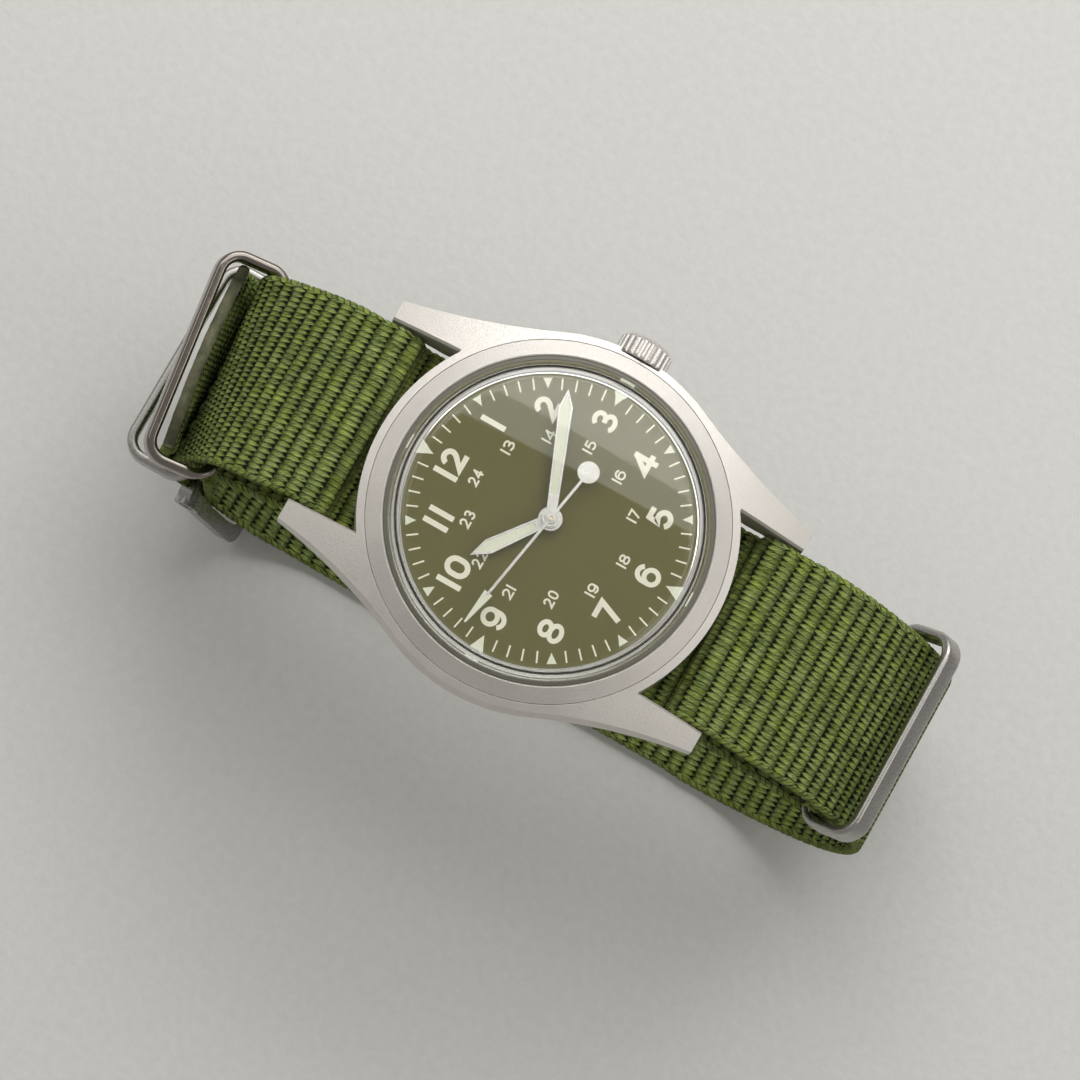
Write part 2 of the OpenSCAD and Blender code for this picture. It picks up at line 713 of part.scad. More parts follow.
module main_plate() {
    color(brass_c) head() difference() {
        union() {
            post(mvt_r, z_train, z_plate, 128);
            ring(rim_in, mvt_r, z_plate, z_motion);
            // Block that carries the stem
            intersection() {
                post(mvt_r, stem_z - 0.85, z_train, 128);
                translate([11.4, -1.25, stem_z - 0.85]) cube([2, 2.5, 2]);
            }
        }
        post(jewel_r, z_train - 1, z_plate + 1);
        for (p = [third_at, escape_at, pallet_at, balance_at])
            at(p) post(jewel_r + 0.005, z_train - eps, z_train + jewel_t + fit);
        at(barrel_at) post(0.5 + pivot_gap, z_train - 1, z_train + 0.6);
        at(minute_at) post(0.3 + pivot_gap, z_plate - 0.5, z_plate + 1);
        for (a = dial_feet) rotate([0, 0, a]) translate([foot_at, 0, 0]) post(foot_r + fit, z_plate - 1, z_plate + 1);
        screw_holes(bridge_screws, shank_r + fit, z_train - 1, z_plate + 0.1);
        stem_bore(stem_r + fit, 10, 14);
        // Room for the clutch and the winding pinion
        stem_bore(wind_r + 0.12, 5.8, 11.35);
    }
}

// Bridge: an outline of the upper deck with its outer foot on the main plate
module bridge(outline) {
    post_h = z_train - z_bridge;
    intersection() {
        translate([0, 0, z_over - 1]) linear_extrude(10) polygon(outline);
        union() {
            post(mvt_r, z_over, z_bridge, 128);
            ring(rim_in, mvt_r, z_bridge - eps, z_bridge + post_h);
            for (p = bridge_screws) at(polar(p)) post(shank_r + 0.4, z_bridge - eps, z_train);
        }
    }
}

split = 0.12;
line_a = [[15, -2], [6, -2], [1.6, 1.5], [-2.2, 2.6], [-8, 8.6], [-8, 15]];

module barrel_bridge() {
    color(brass_c) head() difference() {
        bridge(concat(line_a, [[15, 15]]));
        at(barrel_at) post(0.55 + pivot_gap, z_over - 1, z_train);
        screw_holes(barrel_screws, shank_r + fit, z_over - 1, z_train + 1);
        at(crown_wheel_at) post(0.45 + pivot_gap, z_over - 1, z_bridge + 1);
        at(click_at) post(0.3 + pivot_gap, z_over - 1, z_over + 0.5);
        stem_bore(stem_r + 0.65, 0, 14);
        at([11.4 + 1, 0]) translate([-1.1, -1.35, stem_z - 0.95]) cube([3, 2.7, 2]);
    }
}

module train_bridge() {
    color(brass_c) head() difference() {
        bridge(concat([for (p = line_a) p - split * [1, 1]], [[-15, 15], [-15, -3.7], [-6, -3.7], [-0.6, -5.3],
            [3.4, -5.6], [15, -7]]));
        for (p = [[0, 0], third_at, escape_at])
            at(p) post(jewel_r + 0.005, z_bridge - jewel_t - fit, z_bridge + 1);
        screw_holes(train_screws, shank_r + fit, z_over - 1, z_train + 1);
    }
}

module balance_cock() {
    color(brass_c) head() difference() {
        bridge([balance_at + [-1.5, 1.3], balance_at + [1.5, 1.3], balance_at + [1.9, -1.5], [2.2, -15],
            [-8.2, -15], balance_at + [-2.2, -1.5]]);
        at(balance_at) post(jewel_r + 0.005, z_bridge - jewel_t - fit, z_bridge + 1);
        at(balance_at) post(hairspring_r + 0.3, z_bridge - 0.25, z_bridge + 1);
        screw_holes(cock_screws, shank_r + fit, z_over - 1, z_train + 1);
    }
}
hairspring_r = 1.9;

// Bridge over the pallet fork, seated on two feet on the main plate
module pallet_bridge() {
    deck_z = balance_z + 0.3;
    feet = [[-0.6, -1.4], [1.3, -1.1]];
    color(brass_c) head() difference() {
        union() {
            for (f = feet) at(pallet_at + f) post(0.35, deck_z, z_train);
            translate([pallet_at[0], pallet_at[1], deck_z]) linear_extrude(0.2)
                polygon([[-0.45, 0.4], [0.45, 0.4], [1.8, -1], [1.4, -1.6], [-0.6, -1.9], [-1.1, -1.4]]);
        }
        at(pallet_at) post(pivot_r + pivot_gap, deck_z - 1, z_train - 0.3);
    }
}

module barrel() {
    color(brass_c) head() at(barrel_at) difference() {
        union() {
            post(barrel_r - 0.3, barrel_top - barrel_h, barrel_top, 96);
            translate([0, 0, barrel_top - 0.24]) wheel(84, barrel_r, 0.2, 0, 0, 0);
        }
        post(barrel_r - 0.5, barrel_top - barrel_h + 0.12, barrel_top - 0.12, 96);
        post(0.5 + pivot_gap, barrel_top - 2, barrel_top + 1);
    }
}

module barrel_arbor() {
    color(polished) head() at(barrel_at) {
        post(0.5, z_over - 0.36, z_train + 0.5);
        post(1.1, barrel_top - barrel_h + 0.16, barrel_top - 0.16);
    }
}

// Mainspring: a spiral strip in the barrel
module mainspring() {
    turns = 6;
    r_a = 1.25;
    r_b = barrel_r - 0.62;
    n = turns * 20;
    function rad(i) = r_a + (r_b - r_a) * i / n;
    t = 0.14;
    color([0.6, 0.62, 0.66]) head() at(barrel_at) translate([0, 0, barrel_top - barrel_h + 0.18])
        linear_extrude(barrel_h - 0.36) polygon(concat(
            [for (i = [0:n]) (rad(i) + t / 2) * [cos(i * 18), sin(i * 18)]],
            [for (i = [n:-1:0]) (rad(i) - t / 2) * [cos(i * 18), sin(i * 18)]]));
}

module ratchet_wheel() {
    color(steel) head() at(barrel_at) translate([0, 0, z_over - 0.02 - 0.25])
        wheel(36, ratchet_r, 0.25, 0, 0, 0, 0.505);
}

module crown_wheel() {
    color(steel) head() at(crown_wheel_at) {
        translate([0, 0, z_over - 0.02 - 0.25]) wheel(22, crown_wheel_r, 0.25, 0, 0, 0);
        post(0.45, z_over - 0.05, z_bridge - 0.1);
    }
}

click_at = barrel_at + (ratchet_r + 0.95) * [cos(75), sin(75)];
module click() {
    color(steel) head() at(click_at) {
        translate([0, 0, z_over - 0.02 - 0.25]) linear_extrude(0.25) {
            circle(r = 0.6, $fn = 32);
            polygon([[-0.4, -0.4], [1, -1.5], [1.25, -1.2], [0.4, 0.4]]);
        }
        post(0.3, z_over - 0.05, z_over + 0.4);
    }
}

// Train. The centre wheel's pipe runs up through the dial, and the seconds arbor runs in it.
module centre_wheel() {
    color(brass_c) head() difference() {
        union() {
            translate([0, 0, centre_z]) wheel(64, centre_wheel_r, wheel_t, 0.35, 4, 0.9);
            translate([0, 0, barrel_top - 0.3]) wheel(12, pinion_r, centre_z - barrel_top + 0.3, 0, 0, 0);
            post(pipe_r, centre_z, minute_z + hand_t);
        }
        post(pipe_in_r, barrel_top - 1, minute_z + 1);
    }
}

module cannon_pinion() {
    color(polished) head() difference() {
        union() {
            translate([0, 0, z_plate + 0.03]) wheel(12, cannon_teeth_r, 0.16, 0, 0, 0);
            post(cannon_r, z_plate + 0.03, minute_z + hand_t + 0.1);
        }
        post(cannon_in_r, z_plate - 1, minute_z + 2);
    }
}

module hour_wheel() {
    color(brass_c) head() difference() {
        union() {
            translate([0, 0, z_motion - 0.3]) wheel(40, hour_wheel_r, 0.14, 0, 0, 0);
            post(hour_pipe_r, z_motion - 0.3, hour_z + hand_t + 0.1);
        }
        post(hour_in_r, z_plate, minute_z + 1);
    }
}

module minute_wheel() {
    color(brass_c) head() at(minute_at) {
        translate([0, 0, z_plate + 0.05]) wheel(36, minute_wheel_r, 0.12, 0, 0, 0);
        translate([0, 0, z_plate + 0.16]) wheel(10, 0.57, z_motion - z_plate - 0.24, 0, 0, 0);
        post(0.3, z_plate - 0.4, z_plate + 0.1);
    }
}

// Staff with a thin pivot at each end, from the main plate to the bridge
module staff(r, z_top, z_bot) {
    post(r, z_bot + 0.12, z_top - 0.06);
    post(pivot_r, z_bot - 0.15, z_top + 0.2);
}

module third_wheel() {
    color(brass_c) head() at(third_at) {
        translate([0, 0, third_z]) wheel(60, third_wheel_r, wheel_t, 0.35, 4, 0.7);
        translate([0, 0, centre_z - 0.25]) wheel(8, third_pinion_r, 0.42, 0, 0, 0);
        staff(0.3, z_train, z_bridge);
    }
}

module fourth_wheel() {
    color(brass_c) head() {
        translate([0, 0, fourth_z]) wheel(72, fourth_wheel_r, wheel_t, 0.3, 4, 0.6);
        translate([0, 0, fourth_z + wheel_t - eps]) wheel(8, fourth_pinion_r, third_z - fourth_z + 0.1, 0, 0, 0);
        post(arbor_r, fourth_z, seconds_z + seconds_t + 0.2);
        post(0.3, z_bridge + 0.1, fourth_z);
        post(pivot_r, z_bridge - 0.15, fourth_z);
    }
}

// Escape wheel with leaning teeth
module escape_wheel() {
    n = 15;
    color(brass_c) head() at(escape_at) {
        translate([0, 0, escape_z]) linear_extrude(wheel_t) difference() {
            polygon([for (i = [0:n - 1], k = [0:2]) let (a = (i + [0, 0.75, 0.95][k]) * 360 / n,
                r = escape_wheel_r - [0.55, 0.12, 0][k]) r * [cos(a), sin(a)]]);
            difference() {
                circle(r = escape_wheel_r - 0.9, $fn = 64);
                circle(r = 0.5, $fn = 32);
                for (i = [0:3]) rotate(i * 90) translate([0, -spoke_w / 2]) square([2, spoke_w]);
            }
        }
        translate([0, 0, fourth_z - 0.08]) wheel(6, escape_pinion_r, 0.4, 0, 0, 0);
        staff(0.22, z_train, z_bridge);
    }
}

// Pallet fork: two arms that end just outside the escape wheel, and the lever to the balance
module pallet_fork() {
    to_balance = atan2(balance_at[1] - pallet_at[1], balance_at[0] - pallet_at[0]);
    to_wheel = atan2(escape_at[1] - pallet_at[1], escape_at[0] - pallet_at[0]);
    lever = norm(balance_at - pallet_at) - 0.75;
    color(polished) head() at(pallet_at) {
        translate([0, 0, escape_z]) linear_extrude(wheel_t + 0.02) {
            circle(r = 0.4, $fn = 32);
            rotate(to_balance) translate([0, -0.14]) square([lever, 0.28]);
            for (s = [-1, 1]) rotate(to_wheel + s * 72) translate([0, -0.16]) square([1.9, 0.32]);
        }
        post(pivot_r, balance_z + 0.2, z_train + 0.2);
        post(0.2, balance_z + 0.56, z_train - 0.06);
    }
}

module balance_wheel() {
    color([0.85, 0.7, 0.4]) head() at(balance_at) {
        translate([0, 0, balance_z]) linear_extrude(0.24) difference() {
            circle(r = balance_r, $fn = 128);
            difference() {
                circle(r = balance_r - 0.4, $fn = 128);
                circle(r = 0.6, $fn = 32);
                for (i = [0:2]) rotate(i * 120 + 30) translate([0, -0.2]) square([balance_r, 0.4]);
            }
        }
        // Roller that meets the fork
        post(0.5, escape_z + 0.2, escape_z + 0.32, 32);
        staff(0.18, z_train, z_bridge);
    }
}

// Hairspring, fixed at its outer end to the balance cock
module hairspring() {
    turns = 8;
    r_a = 0.42;
    n = turns * 16;
    function rad(i) = r_a + (hairspring_r - r_a) * i / n;
    t = 0.06;
    color([0.35, 0.42, 0.6]) head() at(balance_at) {
        translate([0, 0, z_bridge - 0.1]) linear_extrude(0.12) polygon(concat(
            [for (i = [0:n]) (rad(i) + t / 2) * [cos(i * 22.5), sin(i * 22.5)]],
            [for (i = [n:-1:0]) (rad(i) - t / 2) * [cos(i * 22.5), sin(i * 22.5)]]));
        translate([hairspring_r, 0, 0]) post(0.15, z_bridge - 0.25, z_bridge + 0.05, 24);
    }
}

module movement_screws() {
    color([0.45, 0.5, 0.62]) head() for (p = bridge_screws) at(polar(p)) {
        difference() {
            post(screw_r, z_over - 0.3, z_over);
            translate([-1, -0.1, z_over - 0.4]) cube([2, 0.2, 0.22]);
        }
        post(shank_r, z_over - eps, z_plate - 0.1);
    }
}

module jewel(z_a) {
    difference() {
        post(jewel_r, z_a, z_a + jewel_t);
        post(jewel_hole_r, z_a - 1, z_a + 1, 24);
    }
}

module jewels() {
    color(ruby) head() {
        for (p = [third_at, escape_at, pallet_at, balance_at]) at(p) jewel(z_train + fit);
        for (p = [[0, 0], third_at, escape_at, balance_at]) at(p) jewel(z_bridge - jewel_t);
    }
}

// Spring bars
tube_half = strap_w / 2 - 0.6;
module spring_bar(side) {
    color(polished) head() translate([-tube_half, side * bar_y, -bar_drop]) rotate([0, 90, 0]) difference() {
        cylinder(r = bar_d / 2, h = 2 * tube_half, $fn = 48);
        for (x = [-1, 2 * tube_half - tip_bore]) translate([0, 0, x])
            cylinder(r = tip_d / 2 + fit, h = tip_bore + 1, $fn = 32);
    }
}
tip_bore = 3.2;

module spring_bar_tip(side, hand) {
    tip_in = tube_half - tip_bore + tip_reach + 0.4;
    color(polished) head() mirror([hand, 0, 0]) translate([tip_in, side * bar_y, -bar_drop]) rotate([0, 90, 0])
        cylinder(r = tip_d / 2, h = lug_gap / 2 + tip_reach - tip_in, $fn = 32);
}

module spring_bar_12() { spring_bar(1); }
module spring_bar_6() { spring_bar(-1); }
module spring_bar_tip_12_right() { spring_bar_tip(1, 0); }
module spring_bar_tip_12_left() { spring_bar_tip(1, 1); }
module spring_bar_tip_6_right() { spring_bar_tip(-1, 0); }
module spring_bar_tip_6_left() { spring_bar_tip(-1, 1); }

// Strap routes, in the plane of Y and Z with the dial at zero.
// A route is a belt over round guides [y, z, r]: r is positive where the guide lies
// to the right of the way that the belt runs, and negative where it lies to the left.
half_t = strap_t / 2;
bar_wrap = bar_d / 2 + 0.1 + half_t;
turn_r = 1.3;
long_z = z_low - 0.1 - half_t;
short_z = long_z - strap_t - layer_gap;
floor_z = -dial_h;
shoulder_slack = 1.01;
function shoulder_z(y, r) =
    -bar_drop - sqrt(pow((r - bar_wrap - half_t) * shoulder_slack, 2) - pow(bar_y - y, 2));
s12 = [shoulder_12_y, shoulder_z(shoulder_12_y, shoulder_12_r)];
s6 = [-shoulder_6_y, shoulder_z(shoulder_6_y, shoulder_6_r)];
l12 = [shoulder_12_y + shoulder_12_r - lower_12_r, floor_z + lower_12_r];
l6 = [-shoulder_6_y - shoulder_6_r + lower_6_r, floor_z + lower_6_r];
function around(c, r, a) = c + r * [sin(a), -cos(a)];
bar_r = buckle_bar_d / 2;
bar_loop = bar_r + fit + half_t;
pin_c = around(l12, lower_12_r - half_t - 0.8, buckle_at);
front_r = buckle_t / 2;
front_out = lower_12_r + 0.2 + 1.4 * front_r;
front_turn = acos((pow(norm(pin_c - l12), 2) + front_out * front_out - buckle_len * buckle_len)
    / (2 * norm(pin_c - l12) * front_out));
front_c = around(l12, front_out, buckle_at - front_turn);

// Keepers: middle of the inner bar, and the way its opening looks
bar_off = keeper_t / 2 + keeper_room;
k12_n = [sin(keeper_12_at), cos(keeper_12_at)];
k12_c = s12 + (shoulder_12_r - strap_t - bar_off - 0.35) * k12_n;
k6_n = [-sin(keeper_6_at - keeper_6_lean), cos(keeper_6_at - keeper_6_lean)];
k6_s = [k6_n[1], -k6_n[0]];
k6_wrap = norm([keeper_t, keeper_t]) / 2 + 0.2 + half_t;
k6_end = (keeper_w - keeper_t) / 2;
k6_in = k6_wrap + half_t + 0.35 + k6_end * sin(keeper_6_lean);
k6_c = s6 + (shoulder_6_r - strap_t - k6_in) * [-sin(keeper_6_at), cos(keeper_6_at)];
kb_z = l12[1] + 1;
kb_c = [s12[0] + shoulder_12_r - strap_t - bar_off, kb_z];
keeper_wrap = norm([keeper_t, keeper_w]) / 2 + 0.1 + half_t;
tail_end = [shoulder_12_y + shoulder_12_r + 1.8, k12_c[1] + 2];
inner_y = s12[0] + shoulder_12_r - strap_t;
fold_end = [inner_y - 0.04 - half_t, kb_z + 3.3];
short_start = [inner_y - 0.3 - half_t, kb_z + 4];
short_turn = [inner_y - 0.3 - strap_t - 1.2, kb_z + 5.5, -1.2 - half_t];

long_route = [
    [tail_end[0], tail_end[1], 0],
    [l12[0], l12[1], lower_12_r + layer_gap + half_t],
    [pin_c[0], pin_c[1], bar_loop + strap_t + layer_gap],
    [l12[0], l12[1], lower_12_r - half_t],
    [l6[0], l6[1], lower_6_r - half_t],
    [s6[0], s6[1], shoulder_6_r - half_t],
    [-bar_y, -bar_drop, bar_wrap],
    [-bar_y + bar_wrap + turn_r, long_z + turn_r, -turn_r],
    [bar_y - bar_wrap - turn_r, long_z + turn_r, -turn_r],
    [bar_y, -bar_drop, bar_wrap],
    [s12[0], s12[1], shoulder_12_r - half_t],
    [l12[0], l12[1], lower_12_r - half_t],
    [pin_c[0], pin_c[1], bar_loop],
    [kb_c[0], kb_c[1], keeper_wrap],
    [fold_end[0], fold_end[1], 0]];
short_route = [
    [short_start[0], short_start[1], 0],
    short_turn,
    [12, short_z - 3, -3],
    [-17.5, short_z - 3, -3],
    [k6_c[0] - k6_end * k6_s[0], k6_c[1] - k6_end * k6_s[1], k6_wrap],
    [k6_c[0] + 3.2 * k6_s[0] + k6_wrap * k6_n[0], k6_c[1] + 3.2 * k6_s[1] + k6_wrap * k6_n[1], 0]];

function way(a, b) = atan2(b[1] - a[1], b[0] - a[0])
    + acos((a[2] - b[2]) / norm([b[0] - a[0], b[1] - a[1]]));
function wrap(a) = a - 360 * floor(a / 360);
function touch_at(g, a) = [g[0] + g[2] * cos(a), g[1] + g[2] * sin(a), a];
arc_step = 6;
piece = 3;
function bend(g, a, b) =
    let (sweep = g[2] > 0 ? wrap(a - b) : -wrap(b - a), n = max(1, ceil(abs(sweep) / arc_step)))
    [for (k = [0:n]) touch_at(g, a - sweep * k / n)];
function corners_of(g) = let (m = len(g) - 1) concat(
    [touch_at(g[0], way(g[0], g[1]))],
    [for (i = [1:m - 1]) each bend(g[i], way(g[i - 1], g[i]), way(g[i], g[i + 1]))],
    [touch_at(g[m], way(g[m - 1], g[m]))]);
function apart(a, b) = norm([b[0] - a[0], b[1] - a[1]]);
function belt(g) = let (c = corners_of(g)) concat(
    [for (i = [0:len(c) - 2]) let (n = max(1, ceil(apart(c[i], c[i + 1]) / piece)))
        if (apart(c[i], c[i + 1]) > 0.001) for (k = [0:n - 1])
            c[i] * (1 - k / n) + [c[i + 1][0], c[i + 1][1], c[i][2]] * (k / n)],
    [c[len(c) - 1]]);

// The strap twists a little where the skewed keeper holds it
function ease(x) = let (c = min(1, max(0, x))) c * c * (3 - 2 * c);
function skew_at(y, z) = keeper_skew * ease((y - 24) / 10) * ease(1 - abs(z - k12_c[1]) / 9);

// Band with a flat section along a route, in columns across its width
columns = 4;
module band(route) {
    p = belt(route);
    n = len(p);
    m = 2 * columns + 2;
    corners = [for (q = p) let (s = q[2], k = skew_at(q[0], q[1]) * sign(cos(s)),
            w = strap_w / 2 * [cos(k), sin(k) * cos(s), sin(k) * sin(s)],
            t = half_t * [-sin(k), cos(k) * cos(s), cos(k) * sin(s)], c = [0, q[0], q[1]])
        each [for (j = [0:m - 1]) let (v = j <= columns ? j : m - 1 - j)
            c + w * (1 - 2 * v / columns) + t * (j <= columns ? 1 : -1)]];
    sides = [for (i = [0:n - 2], j = [0:m - 1]) let (a = m * i + j, b = m * i + (j + 1) % m)
        each [[a, b, b + m], [a, b + m, a + m]]];
    e = m * (n - 1);
    ends = [for (j = [0:columns - 1]) let (a = j, b = j + 1, c = m - 2 - j, d = m - 1 - j)
        each [[c, b, a], [d, c, a], [e + a, e + b, e + c], [e + a, e + c, e + d]]];
    polyhedron(corners, concat(sides, ends), convexity = 20);
}

// Puts a flat piece in the plane of the strap's section: X stays, Y points along n
module across(c, n) {
    translate([0, c[0], c[1]]) rotate([atan2(n[1], n[0]), 0, 0]) children();
}
buckle_n = atan2(front_c[1] - pin_c[1], front_c[0] - pin_c[0]) + 180;
buckle_out = [cos(buckle_n + 90), sin(buckle_n + 90)];

// Corners that the arc at the end of the tail leaves out
module tail_corners() {
    r = (pow(strap_w / 2, 2) + pow(tail_arc, 2)) / (2 * tail_arc);
    translate([0, tail_end[0], tail_end[1]]) rotate([0, 0, keeper_skew]) rotate([-90, 0, 0])
        linear_extrude(2, center = true) difference() {
            translate([-strap_w, -1]) square([2 * strap_w, 1 + tail_arc + 0.5]);
            translate([0, r]) circle(r = r, $fn = 180);
        }
}

module strap_long() {
    color(webbing) head() difference() {
        band(long_route);
        tail_corners();
        // Holes along the lower flat and the slot that the tongue passes
        for (i = [0:5]) translate([0, l6[0] + 3 + i * hole_pitch, floor_z - 1])
            cylinder(r = hole_d / 2, h = 4, $fn = 32);
        in_buckle() translate([-tongue_w / 2 - 0.25, 0.3, 1.5]) cube([tongue_w + 0.5, 2.9, 2.6]);
        in_buckle() translate([-tongue_w / 2 - 0.25, 0, 0]) rotate([0, 90, 0])
            cylinder(r = bar_loop + half_t + 0.05, h = tongue_w + 0.5, $fn = 32);
    }
}

module strap_short() { color(webbing) head() band(short_route); }

// Rows of stitches through the layers between the keepers
module strap_stitching() {
    rows = 2;
    count = 9;
    y = s12[0] + shoulder_12_r;
    color([0.3, 0.37, 0.16]) head() for (r = [0:rows - 1], i = [0:count - 1])
        let (z = kb_z + 3.4 + 1.6 * r, x = (i - (count - 1) / 2) * 2.1, k = skew_at(y, z + (x > 0 ? 0.35 : 0)))
            translate([x, y + 0.08 + x * tan(k), z]) rotate([0, 0, k]) translate([-0.6, 0, 0]) cube([1.2, 0.12, 0.35]);
}

// Keeper: a closed band with rounded corners, drawn with its inner bar on the X axis
module rounded(w, h, r) {
    translate([-w / 2, r]) square([w, h - 2 * r]);
    translate([-w / 2 + r, 0]) square([w - 2 * r, h]);
    for (x = [-w / 2 + r, w / 2 - r], y = [r, h - r]) translate([x, y]) circle(r = r, $fn = 64);
}

module keeper() {
    w = strap_w + 2 * keeper_side;
    translate([0, -keeper_t / 2, -keeper_w / 2]) linear_extrude(keeper_w) difference() {
        rounded(w + 2 * keeper_t, keeper_h + 2 * keeper_t, keeper_round);
        translate([0, keeper_t]) rounded(w, keeper_h, keeper_round - 1.5 * keeper_t);
    }
}

module keeper_12() {
    lean = 90 - keeper_12_at - keeper_lean;
    color(polished) head() across(k12_c, [cos(lean), sin(lean)]) rotate([0, 0, keeper_skew]) keeper();
}
module keeper_6() { color(polished) head() across(k6_c, k6_n) keeper(); }
module keeper_buckle() { color(polished) head() across(kb_c, [1, 0]) keeper(); }

// Buckle, drawn flat: Y runs from the pin to the front bar and Z is outward
module in_buckle() {
    translate([0, pin_c[0], pin_c[1]]) rotate([buckle_n + 180, 0, 0]) children();
}

module buckle_frame() {
    inner = strap_w + 2 * keeper_side;
    color(polished) head() in_buckle() difference() {
        union() {
            translate([0, 0, -buckle_t / 2]) linear_extrude(buckle_t) difference() {
                translate([0, -1.7]) rounded(inner + 2 * buckle_arm, buckle_len + 1.7 + front_r, 1.6);
                translate([-inner / 2, -3]) square([inner, 3 + buckle_len - front_r - 1.2]);
                translate([0, 1]) rounded(inner, buckle_len - front_r - 1, 1);
            }
            for (sx = [0, 1]) mirror([sx, 0, 0]) translate([inner / 2, 0, 0]) rotate([0, 90, 0])
                cylinder(r = bar_r + 0.65, h = buckle_arm, $fn = 48);
        }
        translate([-inner, 0, 0]) rotate([0, 90, 0]) cylinder(r = bar_r + pivot_gap, h = 2 * inner, $fn = 48);
    }
}

module buckle_bar() {
    half = strap_w / 2 + keeper_side + buckle_arm - 0.2;
    color(polished) head() in_buckle() translate([-half, 0, 0]) rotate([0, 90, 0])
        cylinder(r = bar_r, h = 2 * half, $fn = 48);
}

// Tongue: an eye round the buckle bar and a blade that lies on the front bar
module buckle_tongue() {
    eye = bar_r + pivot_gap;
    lie = front_r + 0.03;
    crest = 2.1 + bar_loop;
    color(polished) head() in_buckle() translate([-tongue_w / 2, 0, 0]) rotate([0, 90, 0]) difference() {
        union() {
            cylinder(r = eye + 0.6, h = tongue_w, $fn = 48);
            rotate([0, 0, 90]) linear_extrude(tongue_w)
                polygon([[-0.5, eye + 0.3], [0.3, eye + 0.9], [2, crest], [3.3, crest + 0.35],
                    [buckle_len - 0.6, lie + 0.75], [buckle_len + front_r, lie + 0.35], [buckle_len + front_r, lie],
                    [buckle_len - 0.8, lie], [3.4, crest - 0.45], [2.5, crest - 0.7], [1.2, eye + 0.2]]);
        }
        translate([0, 0, -1]) cylinder(r = eye, h = tongue_w + 2, $fn = 48);
    }
}

case_middle();
bezel();
crystal();
crystal_gasket();
dial_ring();
dial();
hour_markers();
hour_hand();
hour_hand_lume();
minute_hand();
minute_hand_lume();
seconds_hand();
seconds_hand_lume();
crown();
crown_gasket();
crown_tube();
winding_stem();
winding_pinion();
sliding_clutch();
case_back();
back_gasket();
movement_holder();
main_plate();
barrel_bridge();
train_bridge();
balance_cock();
pallet_bridge();
barrel();
barrel_arbor();
mainspring();
ratchet_wheel();
crown_wheel();
click();
centre_wheel();
cannon_pinion();
hour_wheel();
minute_wheel();
third_wheel();
fourth_wheel();
escape_wheel();
pallet_fork();
balance_wheel();
hairspring();
movement_screws();
jewels();
spring_bar_12();
spring_bar_6();
spring_bar_tip_12_right();
spring_bar_tip_12_left();
spring_bar_tip_6_right();
spring_bar_tip_6_left();
strap_long();
strap_short();
strap_stitching();
keeper_12();
keeper_6();
keeper_buckle();
buckle_frame();
buckle_bar();
buckle_tongue();
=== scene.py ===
import math

import bmesh
import bpy
import numpy as np
from mathutils import Matrix, Vector


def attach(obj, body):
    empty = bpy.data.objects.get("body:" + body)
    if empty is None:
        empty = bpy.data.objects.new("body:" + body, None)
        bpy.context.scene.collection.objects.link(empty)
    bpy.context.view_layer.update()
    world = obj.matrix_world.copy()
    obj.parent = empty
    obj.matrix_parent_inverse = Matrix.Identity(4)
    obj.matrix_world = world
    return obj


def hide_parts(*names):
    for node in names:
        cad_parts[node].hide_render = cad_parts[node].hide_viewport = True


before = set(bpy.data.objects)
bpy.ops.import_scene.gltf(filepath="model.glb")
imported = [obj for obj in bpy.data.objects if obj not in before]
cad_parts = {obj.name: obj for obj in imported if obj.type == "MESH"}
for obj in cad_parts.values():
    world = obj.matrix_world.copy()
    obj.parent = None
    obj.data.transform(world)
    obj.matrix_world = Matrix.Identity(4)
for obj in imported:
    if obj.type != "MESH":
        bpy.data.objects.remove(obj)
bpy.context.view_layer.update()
rng = np.random.default_rng(7)

# sizes in mm, with the names of the part's source
MM = 0.001
DIAL_H = 46.0
Z_LOW = -6.3
FIT = 0.05
CRYSTAL_R, CRYSTAL_EDGE_H, CRYSTAL_T, CRYSTAL_FOOT = 15.9, 2.95, 1.0, 0.15
CRYSTAL_ROUND, CRYSTAL_IN_ROUND = 2.2, 1.3
STRAP_W, STRAP_T, LAYER_GAP = 20.5, 1.2, 0.15
HALF_T = STRAP_T / 2
BAR_Y, BAR_DROP, BAR_D = 21.5, 4.9, 1.8
SHOULDER_12_R, SHOULDER_12_Y, SHOULDER_6_R, SHOULDER_6_Y = 18.5, 18.8, 24.5, 20.75
LOWER_12_R, LOWER_6_R = 19.0, 17.5
TAIL_ARC = 2.8
HOLES, HOLE_R, HOLE_PITCH = 6, 1.0, 7.0
KEEPER_T, KEEPER_W, KEEPER_H = 1.1, 2.4, 6.0
KEEPER_SIDE, KEEPER_ROOM, KEEPER_ROUND, KEEPER_SOFT = 0.5, 0.4, 2.7, 0.42
KEEPER_12_AT, KEEPER_6_AT = 71.0, 55.0
KEEPER_SKEW, KEEPER_LEAN, KEEPER_6_LEAN = 8.0, 6.0, 14.0
BUCKLE_BAR_D, BUCKLE_LEN, BUCKLE_T, BUCKLE_AT, TONGUE_W = 1.6, 10.8, 1.6, 66.0, 1.7

# sizes of the weave in mm: the selvedge begins at SELVEDGE_X from the middle
RIB_PITCH, RIB_DEPTH, RIB_UNEVEN = 1.65, 0.33, 0.04
STRAND_W, WEAVE_H = 0.578, 0.24
SELVEDGE_X, SELVEDGE_R, BEAD = 9.8, 0.5, 0.11

# stitches, in mm: their middle lies STITCH_X to the side, the first row STITCH_UP above the keeper
STITCH_ROWS, STITCHES, STITCH_PITCH, STITCH_ROW_GAP = 2, 9, 2.1, 1.6
STITCH_X, STITCH_UP, STITCH_LEN, STITCH_RISE, STITCH_TILT = -0.6, 3.57, 1.4, 0.14, 0.06
THREAD_R = 0.15

